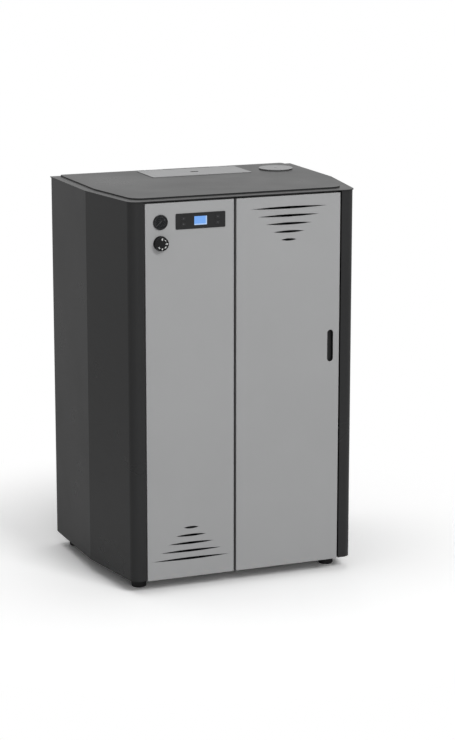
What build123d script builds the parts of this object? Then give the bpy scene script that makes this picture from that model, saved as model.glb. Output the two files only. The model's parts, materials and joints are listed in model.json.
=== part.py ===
"""Floor-standing pellet boiler in a folded-sheet cabinet, millimetres.

The origin is at the bottom centre, on the floor. +X is right as seen from the front,
+Y runs into the depth and +Z is up, so the doors face -Y.
"""
from build123d import *
import math
import os

# Cabinet
CABINET_DEPTH = 644.0
FRONT_WIDTH = 768.0
REAR_SPREAD = 52.0
CREASE_INSET = 3.0
STRIP_WIDTH = 44.0
CREASE_SETBACK = 294.0
CORNER_RADIUS = 30.0
CABINET_HEIGHT = 1240.0
FLOOR_GAP = 42.0
SHEET = 1.5
SEAT = 0.3
FIT = 0.05

# Top rim and raised lid
RIM_THICK = 3.0
RIM_OUT = 3.0
RIM_FRONT_OUT = 4.0
SIDE_LEDGE = 33.0
FRONT_LEDGE = 45.0
REAR_LEDGE = 2.0
LID_HEIGHT = 4.0
LID_CORNER = 45.0
LID_REAR_CORNER = 12.0
LID_BEARING = 12.0

# Front panels
PANEL_PROUD = 3.5
PANEL_DEEP = 20.0
PANEL_TOP_GAP = 8.0
PANEL_SIDE_GAP = 2.5
DOOR_SHARE = 0.53235
DOOR_SIDE_GAP = 7.0
SPLIT_GAP = 9.2
STRIP_RETURN = 25.0
REAR_FLANGE = 30.0

# Lens-shaped vents
VENT_ROWS = 5
VENT_PITCH = 26.0
VENT_SHARE = 0.9
VENT_TALL = 8.0
DOOR_VENT_DROP = 46.0
PANEL_VENT_RISE = 62.0

# Lugs behind the fixed panel
LUG_RISE = 160.0
LUG_DROP = 220.0
LUG_WIDTH = 15.0
LUG_HEIGHT = 30.0

# Controls on the left panel
DIAL_SHARE = 0.16873
GAUGE_DROP = 68.0
KNOB_DROP = 135.0
DIAL_RADIUS = 24.0
GAUGE_CASE_RADIUS = 21.0
GAUGE_DEEP = 38.0
GAUGE_PROUD = 4.0
KNOB_PROUD = 18.5
SPINDLE_RADIUS = 3.0
DISPLAY_SHARE = 0.62045
DISPLAY_DROP = 69.4
DISPLAY_WIDTH = 168.0
DISPLAY_HEIGHT = 50.4
DISPLAY_PROUD = 2.0
SCREEN_WIDTH = 43.0
SCREEN_HEIGHT = 28.0
KEY_WIDTH = 14.0
KEY_HEIGHT = 9.0
KEY_REACH_X = 58.0
KEY_PITCH = 18.0
KEY_PROUD = 1.0

# Door pull
PULL_INSET = 31.2
PULL_DROP = 510.3
PULL_WIDTH = 21.0
PULL_HEIGHT = 106.0
PULL_DEEP = 15.0

# Front door hinge, measured from the door's left edge and front face
HINGE_INSET = 5.0
HINGE_BACK = 7.5
HINGE_PIN_RADIUS = 3.0
BRACKET_WIDTH = 8.0
BRACKET_THICK = 2.2

# Chassis
FRAME_DEEP = 30.0
POST_WIDTH = 24.0
MIDDLE_POST_WIDTH = 54.0
RAIL_HEIGHT = 20.0
FRAME_SHEET = 2.0
BASE_THICK = 3.0
BASE_FLANGE = 40.0
FOOT_INSET = 63.5
FOOT_FRONT_SETBACK = 90.0
FOOT_REAR_INSET = 56.0
FOOT_REAR_SETBACK = 42.0
FOOT_RADIUS = 24.5
FOOT_PAD_GAP = 10.0
FOOT_SPINDLE_RADIUS = 5.0

# Boiler body
BOILER_LEFT = 20.0
BOILER_SIDE_GAP = 10.0
BOILER_FRONT_GAP = 11.0
BOILER_REAR_ROOM = 232.0
BOILER_TOP_ROOM = 132.0
BOILER_FEET = 58.0
WATER_WALL = 30.0
REAR_WALL = 40.0
PLATE = 6.0
ASH_HEIGHT = 138.0
FIREBOX_HEIGHT = 378.0
SMOKE_BOX_HEIGHT = 70.0
SMOKE_BOX_WALL = 10.0
TUBE_COUNT = 4
TUBE_RADIUS = 25.0
TUBE_SETBACK = 112.0
COVER_THICK = 6.0
BRICK = 20.0
POT_WIDTH = 120.0
POT_DEPTH = 100.0
POT_DROP = 46.0
POT_WALL = 5.0

# Firebox door
FIRE_DOOR_THICK = 12.0
ROPE = 8.0
FIRE_HINGE_RADIUS = 5.0
HANDLE_LENGTH = 112.0

# Cleaning lever and turbulators
LEVER_REACH = 113.0
LIFT_PIN_RADIUS = 4.0
LIFT_BAR = 14.0
LEVER_LENGTH = 170.0
LEVER_SHAFT_RADIUS = 6.0
TURBULATOR_WIDTH = 42.0
TURBULATOR_STEM = 34.0
TURBULATOR_SECTION_COUNT = 9
TURBULATOR_TURN_SHARE = 1.0

# Hopper and its hatch
HATCH_FLUE_GAP = 52.0
HATCH_SETBACK = 105.0
HATCH_WIDTH = 356.0
HATCH_DEPTH = 158.0
HATCH_THICK = 1.2
HATCH_OVERLAP = 12.0
FINGER_SLOT = 32.0
FINGER_SLOT_DEPTH = 14.0
HATCH_BARREL = 1.6
HATCH_PIN = 0.8
HOPPER_SIDE_ROOM = 136.0
HOPPER_DEPTH = 172.0
HOPPER_REAR_ROOM = 22.0
HOPPER_FLOOR = 658.0
HOPPER_STRAP_DROP = 182.0
HOPPER_STRAP_THICK = 3.0
HOPPER_STRAP_WIDTH = 40.0
THROAT_INSET = 286.0
THROAT_RISE = 388.0
THROAT_WIDTH = 100.0
THROAT_DEPTH = 60.0

# Auger
AUGER_LEAN = 35.0
AUGER_DROP = 105.0
AUGER_BELOW = 78.0
AUGER_ENDS = 103.25
AUGER_PITCH = 55.0
AUGER_RADIUS = 27.0
AUGER_CORE = 8.0
AUGER_BORE = 29.5
AUGER_WALL = 2.5
CHUTE_RADIUS = 30.0

# Smoke fan and flue
FAN_INSET = 174.0
FAN_WIDTH = 60.0
FAN_SETBACK = 132.0
FAN_RISE = 208.0
SCROLL_RADIUS = 78.0
SCROLL_GROWTH = 6.0
DUCT_BOTTOM = 30.0
DUCT_WIDTH = 50.0
IMPELLER_RADIUS = 66.0
IMPELLER_BLADES = 8
FAN_SHAFT_RADIUS = 4.0
FLUE_RADIUS = 50.0
REAR_REACH = 22.0
TOP_FLUE_INSET = 110.0
TOP_FLUE_SETBACK = 133.0
TOP_FLUE_RADIUS = 52.0
FLUE_COVER_RADIUS = 58.0
FLUE_COVER_THICK = 1.6
FLUE_COVER_LIFT = 2.5
AIR_X = 90.0
AIR_RISE = 148.0
AIR_RADIUS = 30.0

# Water side
PIPE_RADIUS = 14.0
PIPE_BORE = 12.0
PIPE_BEND = 40.0
THREAD_RADIUS = 16.6
PORT_INSET = 51.0
LOUVRE_LENGTH = 120.0
LOUVRE_HEIGHT = 8.0
LOUVRE_PITCH = 30.0
LOUVRE_DROP = 222.0
LOUVRE_ROWS = 4
LOUVRE_SHARE = 0.23
FLOW_PORT_RISE = 218.0
RETURN_PORT_RISE = 118.0
PIPE_SETBACK = 262.0
FLOW_DROP = 282.0
PUMP_X = -120.0
PUMP_RISE = 198.0
PUMP_HEIGHT = 130.0
RISER_RISE = 408.0
VESSEL_DROP = 662.0
VESSEL_RADIUS = 120.0
VESSEL_THICK = 90.0
CONTROL_DROP = 172.0
CONTROL_HEIGHT = 250.0
INLET_INSET = 136.0
INLET_RISE = 78.0

# Cabinet planes
FRONT = -CABINET_DEPTH / 2
BACK = CABINET_DEPTH / 2
REAR_WIDTH = FRONT_WIDTH + 2 * REAR_SPREAD
OPENING_WIDTH = FRONT_WIDTH - 2 * STRIP_WIDTH
CREASE_Y = FRONT + CREASE_SETBACK
CREASE_WIDTH = REAR_WIDTH - 2 * CREASE_INSET
BASE = FLOOR_GAP
TOP = BASE + CABINET_HEIGHT
RIM_BOTTOM = TOP - RIM_THICK
LID_TOP = TOP + LID_HEIGHT
LID_OUT = RIM_OUT - SIDE_LEDGE
LID_FRONT = FRONT - RIM_FRONT_OUT + FRONT_LEDGE
LID_BACK = BACK + RIM_OUT - REAR_LEDGE
REAR_INSIDE = BACK - SHEET - SEAT - SHEET

# Front panel places
PANEL_FACE = FRONT - PANEL_PROUD
PANEL_BACK = PANEL_FACE + PANEL_DEEP
PANEL_TOP = TOP - PANEL_TOP_GAP
DOOR_RIGHT = OPENING_WIDTH / 2 - DOOR_SIDE_GAP
DOOR_LEFT = DOOR_RIGHT - DOOR_SHARE * OPENING_WIDTH
PANEL_RIGHT = DOOR_LEFT - SPLIT_GAP
PANEL_LEFT = PANEL_SIDE_GAP - OPENING_WIDTH / 2
PANEL_WIDTH = PANEL_RIGHT - PANEL_LEFT
VENT_LONGEST = VENT_SHARE * PANEL_WIDTH
DIAL_X = PANEL_LEFT + DIAL_SHARE * PANEL_WIDTH
GAUGE_Z = TOP - GAUGE_DROP
KNOB_Z = TOP - KNOB_DROP
DISPLAY_X = PANEL_LEFT + DISPLAY_SHARE * PANEL_WIDTH
DISPLAY_Z = TOP - DISPLAY_DROP
PULL_X = DOOR_RIGHT - PULL_INSET
PULL_Z = TOP - PULL_DROP
HINGE_X = DOOR_LEFT + HINGE_INSET
HINGE_Y = PANEL_FACE + HINGE_BACK

# Chassis places
FRAME_FRONT = PANEL_BACK + 2.5
FRAME_BACK = FRAME_FRONT + FRAME_DEEP
MIDDLE_POST_X = (PANEL_RIGHT + DOOR_LEFT) / 2
FOOT_PAD = BASE - FOOT_PAD_GAP

# Boiler places
FAN_X = (REAR_WIDTH / 2 - FAN_INSET, REAR_WIDTH / 2 - FAN_INSET + FAN_WIDTH)
FAN_Y = BACK - FAN_SETBACK
FAN_Z = BASE + FAN_RISE
SMOKE_DUCT_X = (FAN_X[0] - DUCT_WIDTH - 2, FAN_X[0] - 2)
BOILER_X = (BOILER_LEFT, OPENING_WIDTH / 2 - BOILER_SIDE_GAP)
BOILER_Y = (FRAME_BACK + BOILER_FRONT_GAP, BACK - BOILER_REAR_ROOM)
BOILER_Z = (BASE + BOILER_FEET, TOP - BOILER_TOP_ROOM)
FIRE_X = (BOILER_X[0] + WATER_WALL, BOILER_X[1] - WATER_WALL)
FIRE_BACK = BOILER_Y[1] - REAR_WALL
ASH_BACK = FIRE_BACK - 20.0
ASH_Z = (BOILER_Z[0] + 2 * PLATE, BOILER_Z[0] + 2 * PLATE + ASH_HEIGHT)
JACKET_BOTTOM = ASH_Z[1] + PLATE
FIREBOX_Z = (JACKET_BOTTOM + PLATE, JACKET_BOTTOM + PLATE + FIREBOX_HEIGHT)
SMOKE_BOX_BOTTOM = BOILER_Z[1] - SMOKE_BOX_HEIGHT
TUBE_Y = BOILER_Y[0] + TUBE_SETBACK
TURBULATOR_LENGTH = SMOKE_BOX_BOTTOM - FIREBOX_Z[1] - 60.0 - TURBULATOR_STEM
CHUTE_X = SMOKE_DUCT_X[0] - CHUTE_RADIUS - 5
POT_X = CHUTE_X
POT_Y = (BOILER_Y[0] + FIRE_BACK) / 2 + 36.0
FIRE_DOOR_X = (FIRE_X[0] - 15, FIRE_X[1] + 6)
FIRE_DOOR_Z = (FIREBOX_Z[0] - 6, FIREBOX_Z[1] + 6)
FIRE_DOOR_BACK = BOILER_Y[0] - ROPE - SEAT
FIRE_DOOR_FRONT = FIRE_DOOR_BACK - FIRE_DOOR_THICK
FIRE_HINGE_X = FIRE_DOOR_X[0] - FIRE_HINGE_RADIUS - 4.0
FIRE_HINGE_Y = (FIRE_DOOR_FRONT + FIRE_DOOR_BACK) / 2
LEVER_X = FIRE_X[0] + 12.0
LEVER_Z = SMOKE_BOX_BOTTOM + 32.0
LIFT_PIN_X = LEVER_X + LEVER_REACH

# Hopper and auger places
TOP_FLUE_X = REAR_WIDTH / 2 - TOP_FLUE_INSET
HATCH_X = TOP_FLUE_X - FLUE_COVER_RADIUS - HATCH_FLUE_GAP - HATCH_WIDTH / 2
HATCH_Y = BACK - HATCH_SETBACK
MOUTH_X = (HATCH_X - HATCH_WIDTH / 2 + HATCH_OVERLAP, HATCH_X + HATCH_WIDTH / 2 - HATCH_OVERLAP)
MOUTH_Y = (HATCH_Y - HATCH_DEPTH / 2 + HATCH_OVERLAP, HATCH_Y + HATCH_DEPTH / 2 - HATCH_OVERLAP)
HATCH_BOTTOM = LID_TOP + SEAT
HATCH_AXIS_Y = HATCH_Y + HATCH_DEPTH / 2 + HATCH_BARREL + 0.5
HATCH_AXIS_Z = LID_TOP + HATCH_BARREL + 0.3
HOPPER_RIGHT = HATCH_X + HATCH_WIDTH / 2 + 17.0
HOPPER_X = (HOPPER_SIDE_ROOM - REAR_WIDTH / 2, HOPPER_RIGHT)
HOPPER_Y = (BACK - HOPPER_REAR_ROOM - HOPPER_DEPTH, BACK - HOPPER_REAR_ROOM)
HOPPER_Z = (BASE + HOPPER_FLOOR, TOP - 42.0)
THROAT_X = THROAT_INSET - REAR_WIDTH / 2
THROAT_Y = (HOPPER_Y[0] + HOPPER_Y[1]) / 2 + 1.0
THROAT_Z = BASE + THROAT_RISE
AUGER_TILT = (0.0, 90.0 - AUGER_LEAN, 0.0)
AUGER_LENGTH = (CHUTE_X - THROAT_X) / math.cos(math.radians(AUGER_LEAN)) + AUGER_ENDS
AUGER_ORIGIN = (
    THROAT_X - AUGER_BELOW * math.cos(math.radians(AUGER_LEAN)),
    THROAT_Y,
    THROAT_Z - AUGER_DROP - AUGER_BELOW * math.sin(math.radians(AUGER_LEAN)),
)

# Places of the rear connections
TOP_FLUE_Y = BACK - TOP_FLUE_SETBACK
AIR_Z = BASE + AIR_RISE
PORT_X = PORT_INSET - REAR_WIDTH / 2
FLOW_PORT_Z = BASE + FLOW_PORT_RISE
RETURN_PORT_Z = BASE + RETURN_PORT_RISE
PIPE_Y = BACK - PIPE_SETBACK
FLOW_Z = TOP - FLOW_DROP
PUMP_Z = (BASE + PUMP_RISE, BASE + PUMP_RISE + PUMP_HEIGHT)
RISER_Z = BASE + RISER_RISE
VESSEL_X = (MIDDLE_POST_X - OPENING_WIDTH / 2) / 2
VESSEL_Z = TOP - VESSEL_DROP
INLET_X = INLET_INSET - REAR_WIDTH / 2
INLET_Z = BASE + INLET_RISE

TURN = {
    "+X": (0, 90, 0),
    "-X": (0, -90, 0),
    "+Y": (-90, 0, 0),
    "-Y": (90, 0, 0),
    "+Z": (0, 0, 0),
    "-Z": (180, 0, 0),
}


def block(x, y, z):
    """Box between three (low, high) pairs."""
    pairs = (x, y, z)
    middle = [(low + high) / 2 for low, high in pairs]
    return Pos(*middle) * Box(*[high - low for low, high in pairs])


def rod(start, radius, length, way="+Z"):
    """Cylinder that runs from its start along an axis."""
    foot = (Align.CENTER, Align.CENTER, Align.MIN)
    return Pos(*start) * Rot(*TURN[way]) * Cylinder(radius, length, align=foot)


def tube(start, radius, bore, length, way="+Z"):
    """Straight tube with an open bore."""
    return rod(start, radius, length, way) - rod(start, bore, length, way)


def cone(start, low_radius, high_radius, length, way="+Z"):
    """Truncated cone that runs from its start along an axis."""
    foot = (Align.CENTER, Align.CENTER, Align.MIN)
    return Pos(*start) * Rot(*TURN[way]) * Cone(low_radius, high_radius, length, align=foot)


def slab(face, bottom, top):
    """A flat face on the floor plane, raised and thickened upwards."""
    return Pos(0, 0, bottom) * extrude(face, top - bottom, dir=(0, 0, 1))


def front_slab(face, front, back):
    """A flat face drawn as seen from the front, thickened into the depth."""
    upright = Plane(origin=(0, front, 0), x_dir=(1, 0, 0), z_dir=(0, -1, 0))
    return extrude(upright * face, back - front, dir=(0, 1, 0))


def half_width(y):
    """Half the cabinet's width at depth y: two flat facets that meet at the crease."""
    if y < CREASE_Y:
        lean = (CREASE_WIDTH - FRONT_WIDTH) / 2 / CREASE_SETBACK
    else:
        lean = (REAR_WIDTH - CREASE_WIDTH) / 2 / (BACK - CREASE_Y)
    return CREASE_WIDTH / 2 + lean * (y - CREASE_Y)


def plan(outset, front, back, front_radius=0.0, rear_radius=0.0):
    """The cabinet's six-sided plan, its sides moved outwards by an outset."""
    right = [(half_width(y) + outset, y) for y in (front, CREASE_Y, back)]
    left = [(-x, y) for x, y in reversed(right)]
    face = make_face(Polyline(*right, *left, close=True)).face()
    for corners, radius in ((0, front_radius), (-1, rear_radius)):
        if radius > 0:
            face = face.fillet_2d(radius, face.vertices().group_by(Axis.Y)[corners])
    return face


def lens(width, height):
    """Slot with two shallow arcs that meet in points."""
    upper = ThreePointArc((-width / 2, 0), (0, height / 2), (width / 2, 0))
    lower = ThreePointArc((width / 2, 0), (0, -height / 2), (-width / 2, 0))
    return make_face([upper, lower])


def vents(x, z_longest, step):
    """Rows of lens slots that shorten from the longest one, upwards or downwards."""
    slots = []
    for row in range(VENT_ROWS):
        slot = lens(VENT_LONGEST * (1 - row / VENT_ROWS), VENT_TALL)
        slots.append(Pos(x, z_longest + row * step) * slot)
    return [front_slab(slot, PANEL_FACE - 1, PANEL_FACE + 2 * SHEET) for slot in slots]


def pan(x, z):
    """Front panel: a flat face with its four edges folded back."""
    body = block(x, (PANEL_FACE, PANEL_BACK), z)
    inside_x = (x[0] + SHEET, x[1] - SHEET)
    inside_z = (z[0] + SHEET, z[1] - SHEET)
    return body - block(inside_x, (PANEL_FACE + SHEET, PANEL_BACK), inside_z)


def stadium(width, height):
    """Slot outline with round ends."""
    return SlotOverall(max(width, height), min(width, height), rotation=90 if height > width else 0)


# Cabinet

def foot_places():
    """Name and place of each levelling foot."""
    front_y = FRONT + FOOT_FRONT_SETBACK
    rear_y = BACK - FOOT_REAR_SETBACK
    front_x = half_width(front_y) - FOOT_INSET
    rear_x = half_width(rear_y) - FOOT_REAR_INSET
    return {
        "foot_front_left": (-front_x, front_y),
        "foot_front_right": (front_x, front_y),
        "foot_rear_left": (-rear_x, rear_y),
        "foot_rear_right": (rear_x, rear_y),
    }


def levelling_foot(x, y):
    """Round pad, hexagon for the spanner, and a spindle that screws into the base."""
    bevel = 2.0
    pad = cone((x, y, 0), FOOT_RADIUS - bevel, FOOT_RADIUS, bevel)
    pad += rod((x, y, bevel), FOOT_RADIUS, FOOT_PAD - bevel)
    hexagon = slab(Pos(x, y) * RegularPolygon(9.8, 6), FOOT_PAD, BASE - SEAT)
    spindle = rod((x, y, FOOT_PAD), FOOT_SPINDLE_RADIUS, BASE_THICK + 40)
    return pad + hexagon + spindle


def base_frame():
    """Folded tray that carries the boiler, with a threaded boss over each foot."""
    wall = SHEET + SEAT
    front = FRONT + STRIP_RETURN + SEAT
    back = REAR_INSIDE - SEAT
    tray = slab(plan(-wall, front, back), BASE, BASE + BASE_FLANGE)
    room = plan(-wall - BASE_THICK, front + BASE_THICK, back - BASE_THICK)
    tray -= slab(room, BASE + BASE_THICK, BASE + BASE_FLANGE)
    for x, y in foot_places().values():
        tray += rod((x, y, BASE + BASE_THICK), 11, 15)
        tray -= rod((x, y, BASE), FOOT_SPINDLE_RADIUS + FIT, 20)
    return tray


def channel(x, z):
    """Folded channel of the front frame, open to the rear."""
    body = block(x, (FRAME_FRONT, FRAME_BACK), z)
    inside_x = (x[0] + FRAME_SHEET, x[1] - FRAME_SHEET)
    inside_z = (z[0] + FRAME_SHEET, z[1] - FRAME_SHEET)
    return body - block(inside_x, (FRAME_FRONT + FRAME_SHEET, FRAME_BACK), inside_z)


def front_frame():
    """Three posts and two rails behind the front panels."""
    outer = OPENING_WIDTH / 2 - SEAT
    bottom = BASE + BASE_FLANGE + SEAT
    top = RIM_BOTTOM - SEAT
    middle = (MIDDLE_POST_X - MIDDLE_POST_WIDTH / 2, MIDDLE_POST_X + MIDDLE_POST_WIDTH / 2)
    frame = channel((-outer, -outer + POST_WIDTH), (bottom, top))
    frame += channel(middle, (bottom, top))
    frame += channel((outer - POST_WIDTH, outer), (bottom, top))
    frame += channel((-outer, outer), (bottom, bottom + RAIL_HEIGHT))
    frame += channel((-outer, outer), (top - RAIL_HEIGHT, top))
    half = BRACKET_WIDTH / 2 + SEAT
    slot_z = (PANEL_TOP + SEAT - 0.2, PANEL_TOP + SEAT + BRACKET_THICK + 0.2)
    return frame - block((HINGE_X - half, HINGE_X + half), (FRAME_FRONT, FRAME_FRONT + FRAME_SHEET), slot_z)


def side_panel():
    """Right side: front strip, round bend, two facets and turned-in flanges."""
    height = (BASE, RIM_BOTTOM - SEAT)
    inner = plan(-SHEET, FRONT + SHEET, BACK - SHEET, CORNER_RADIUS - SHEET)
    skin = slab(plan(0, FRONT, BACK, CORNER_RADIUS), *height) - slab(inner, *height)
    edge = OPENING_WIDTH / 2
    skin &= block((edge, REAR_WIDTH), (FRONT - 1, BACK + 1), height)
    skin -= block((0, REAR_WIDTH / 2 - REAR_FLANGE), (BACK - 2 * SHEET, BACK + 1), height)
    return skin + block((edge, edge + SHEET), (FRONT, FRONT + STRIP_RETURN), height)


def rear_panel():
    """Flat back with louvre slots and a cut-out for each connection."""
    half = half_width(BACK) - SHEET - 2.5
    y = (REAR_INSIDE, REAR_INSIDE + SHEET)
    panel = block((-half, half), y, (BASE + BASE_FLANGE + SEAT, RIM_BOTTOM - SEAT))
    panel += block((-half, half), y, (BASE + SEAT, BASE + BASE_FLANGE + SEAT))
    start = REAR_INSIDE - 1
    for x, z, radius in (
        (fan_outlet_x(), fan_outlet_z(), FLUE_RADIUS + 2),
        (AIR_X, AIR_Z, AIR_RADIUS + 2),
        (PORT_X, FLOW_PORT_Z, THREAD_RADIUS + 2),
        (PORT_X, RETURN_PORT_Z, THREAD_RADIUS + 2),
    ):
        panel -= rod((x, start, z), radius, SHEET + 2, "+Y")
    panel -= block((INLET_X - 24, INLET_X + 24), (start, BACK), (INLET_Z - 14, INLET_Z + 14))
    louvre = stadium(LOUVRE_LENGTH, LOUVRE_HEIGHT)
    for column in (-1, 0, 1):
        for row in range(LOUVRE_ROWS):
            place = Pos(column * REAR_WIDTH * LOUVRE_SHARE, TOP - LOUVRE_DROP + row * LOUVRE_PITCH)
            panel -= front_slab(place * louvre, start, start + SHEET + 2)
    return panel


def lid_outline(inset=0.0):
    """Plan of the raised lid, or of a line inside it."""
    radius = LID_CORNER - inset
    rear_radius = max(LID_REAR_CORNER - inset, 1.0)
    return plan(LID_OUT - inset, LID_FRONT + inset, LID_BACK - inset, radius, rear_radius)


def top_frame():
    """Flat rim plate that closes the cabinet and carries the lid."""
    outline = plan(RIM_OUT, FRONT - RIM_FRONT_OUT, BACK + RIM_OUT, CORNER_RADIUS + RIM_OUT)
    rim = slab(outline, RIM_BOTTOM, TOP)
    return rim - slab(lid_outline(LID_BEARING), RIM_BOTTOM, TOP)


def top_lid():
    """Raised lid with folded edges, the hopper's mouth and the flue hole."""
    lid = slab(lid_outline(), TOP, LID_TOP) - slab(lid_outline(SHEET), TOP, LID_TOP - SHEET)
    lid -= block(MOUTH_X, MOUTH_Y, (TOP, LID_TOP))
    return lid - rod((TOP_FLUE_X, TOP_FLUE_Y, TOP), TOP_FLUE_RADIUS, LID_HEIGHT)


def flue_cover():
    """Thin round plate on a step, with a ring below that plugs the flue hole."""
    bottom = LID_TOP + SEAT
    plate_z = bottom + FLUE_COVER_LIFT
    cover = rod((TOP_FLUE_X, TOP_FLUE_Y, plate_z), FLUE_COVER_RADIUS, FLUE_COVER_THICK)
    cover = fillet(cover.edges().group_by(Axis.Z)[-1], 0.6)
    cover += rod((TOP_FLUE_X, TOP_FLUE_Y, bottom), TOP_FLUE_RADIUS + 1.5, FLUE_COVER_LIFT)
    ring = tube((TOP_FLUE_X, TOP_FLUE_Y, bottom - 11), TOP_FLUE_RADIUS - 1, TOP_FLUE_RADIUS - 3, 11)
    button = rod((TOP_FLUE_X, TOP_FLUE_Y, plate_z + FLUE_COVER_THICK), 5, 1.2)
    return cover + ring + button


# Front panels and controls

def front_panel():
    """Fixed left panel with vents, cut-outs for its controls and lugs on the frame."""
    panel = pan((PANEL_LEFT, PANEL_RIGHT), (BASE, PANEL_TOP))
    middle = (PANEL_LEFT + PANEL_RIGHT) / 2
    for slot in vents(middle + 1, BASE + PANEL_VENT_RISE, VENT_PITCH):
        panel -= slot
    y = PANEL_FACE - 1
    panel -= rod((DIAL_X, y, GAUGE_Z), GAUGE_CASE_RADIUS + SEAT, 2 * SHEET + 1, "+Y")
    panel -= rod((DIAL_X, y, KNOB_Z), SPINDLE_RADIUS + 2, 2 * SHEET + 1, "+Y")
    window_x = (DISPLAY_X - DISPLAY_WIDTH / 2 + 5, DISPLAY_X + DISPLAY_WIDTH / 2 - 5)
    window_z = (DISPLAY_Z - DISPLAY_HEIGHT / 2 + 5, DISPLAY_Z + DISPLAY_HEIGHT / 2 - 5)
    panel -= block(window_x, (y, y + 2 * SHEET + 1), window_z)
    lug_y = (PANEL_BACK - 2, FRAME_FRONT - SEAT)
    for z in (BASE + LUG_RISE, (BASE + PANEL_TOP) / 2, PANEL_TOP - LUG_DROP):
        for x in ((PANEL_LEFT, PANEL_LEFT + LUG_WIDTH), (PANEL_RIGHT - LUG_WIDTH, PANEL_RIGHT)):
            panel += block(x, lug_y, (z, z + LUG_HEIGHT))
    return panel


def front_door():
    """Right door with vents, the pull's slot and holes for its two hinge pins."""
    door = pan((DOOR_LEFT, DOOR_RIGHT), (BASE, PANEL_TOP))
    middle = (DOOR_LEFT + DOOR_RIGHT) / 2
    for slot in vents(middle + 0.5, TOP - DOOR_VENT_DROP, -VENT_PITCH):
        door -= slot
    outline = Pos(PULL_X, PULL_Z) * stadium(PULL_WIDTH, PULL_HEIGHT)
    door -= front_slab(outline, PANEL_FACE - 1, PANEL_FACE + 2 * SHEET)
    pin = rod((HINGE_X, HINGE_Y, BASE), HINGE_PIN_RADIUS + FIT, CABINET_HEIGHT)
    return door - pin


def door_hinge_pins():
    """Two flat brackets on the frame, each with a pin that enters the door."""
    half = BRACKET_WIDTH / 2
    reach = 10.0
    parts = []
    for plate_z, pin_z in (
        (BASE - SEAT - BRACKET_THICK, BASE - SEAT),
        (PANEL_TOP + SEAT, PANEL_TOP + SEAT - reach),
    ):
        x = (HINGE_X - half, HINGE_X + half)
        plate = block(x, (HINGE_Y, FRAME_FRONT + 12), (plate_z, plate_z + BRACKET_THICK))
        plate += rod((HINGE_X, HINGE_Y, plate_z), half, BRACKET_THICK)
        parts.append(plate + rod((HINGE_X, HINGE_Y, pin_z), HINGE_PIN_RADIUS, reach))
    return parts


def door_pull_cup():
    """Recessed finger cup behind the door's slot."""
    outer = Pos(PULL_X, PULL_Z) * stadium(PULL_WIDTH + 2 * SHEET, PULL_HEIGHT + 2 * SHEET)
    inner = Pos(PULL_X, PULL_Z) * stadium(PULL_WIDTH, PULL_HEIGHT)
    front = PANEL_FACE + SHEET
    cup = front_slab(outer, front, front + PULL_DEEP)
    return cup - front_slab(inner, front, front + PULL_DEEP - SHEET)


def key_places():
    """Name and place of each key on the display panel."""
    places = {}
    for side, dx in (("left", -KEY_REACH_X), ("right", KEY_REACH_X)):
        for row, dz in (("upper", KEY_PITCH / 2), ("lower", -KEY_PITCH / 2)):
            places[f"key_{row}_{side}"] = (DISPLAY_X + dx, DISPLAY_Z + dz)
    return places


def display_panel():
    """Flat bezel with a housing behind it, a screen window and a hole for each key."""
    face = PANEL_FACE - DISPLAY_PROUD
    half = DISPLAY_WIDTH / 2
    tall = DISPLAY_HEIGHT / 2
    plate = RectangleRounded(DISPLAY_WIDTH, DISPLAY_HEIGHT, 3)
    bezel = front_slab(Pos(DISPLAY_X, DISPLAY_Z) * plate, face, PANEL_FACE - SEAT)
    behind_x = (DISPLAY_X - half + 6, DISPLAY_X + half - 6)
    behind_z = (DISPLAY_Z - tall + 6, DISPLAY_Z + tall - 6)
    bezel += block(behind_x, (PANEL_FACE - SEAT, PANEL_BACK), behind_z)
    window_x = (DISPLAY_X - SCREEN_WIDTH / 2, DISPLAY_X + SCREEN_WIDTH / 2)
    window_z = (DISPLAY_Z - SCREEN_HEIGHT / 2, DISPLAY_Z + SCREEN_HEIGHT / 2)
    bezel -= block(window_x, (face, face + 3), window_z)
    for x, z in key_places().values():
        hole = RectangleRounded(KEY_WIDTH + 2 * SEAT, KEY_HEIGHT + 2 * SEAT, 2)
        bezel -= front_slab(Pos(x, z) * hole, face, face + 6)
    return bezel


def display_screen():
    """Glass of the small screen, just below the bezel's face."""
    face = PANEL_FACE - DISPLAY_PROUD + 0.4
    x = (DISPLAY_X - SCREEN_WIDTH / 2 + 0.1, DISPLAY_X + SCREEN_WIDTH / 2 - 0.1)
    z = (DISPLAY_Z - SCREEN_HEIGHT / 2 + 0.1, DISPLAY_Z + SCREEN_HEIGHT / 2 - 0.1)
    return block(x, (face, face + 2.5), z)


def key(x, z):
    """Push key that stands just proud of the bezel."""
    face = PANEL_FACE - DISPLAY_PROUD - KEY_PROUD
    outline = Pos(x, z) * RectangleRounded(KEY_WIDTH, KEY_HEIGHT, 1.8)
    return front_slab(outline, face, face + 5)


def gauge_case():
    """Round pressure gauge: bezel ring on the panel, case and stem behind it."""
    face = PANEL_FACE - GAUGE_PROUD
    case = rod((DIAL_X, PANEL_FACE - SEAT, GAUGE_Z), GAUGE_CASE_RADIUS, GAUGE_DEEP, "+Y")
    case += rod((DIAL_X, face, GAUGE_Z), DIAL_RADIUS, GAUGE_PROUD - SEAT, "+Y")
    case -= rod((DIAL_X, face, GAUGE_Z), DIAL_RADIUS - 2.5, 1.2, "+Y")
    case -= rod((DIAL_X, face, GAUGE_Z), DIAL_RADIUS - 4, 3.4, "+Y")
    return case + rod((DIAL_X, PANEL_FACE + GAUGE_DEEP - SEAT, GAUGE_Z), 5, 14, "+Y")


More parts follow.
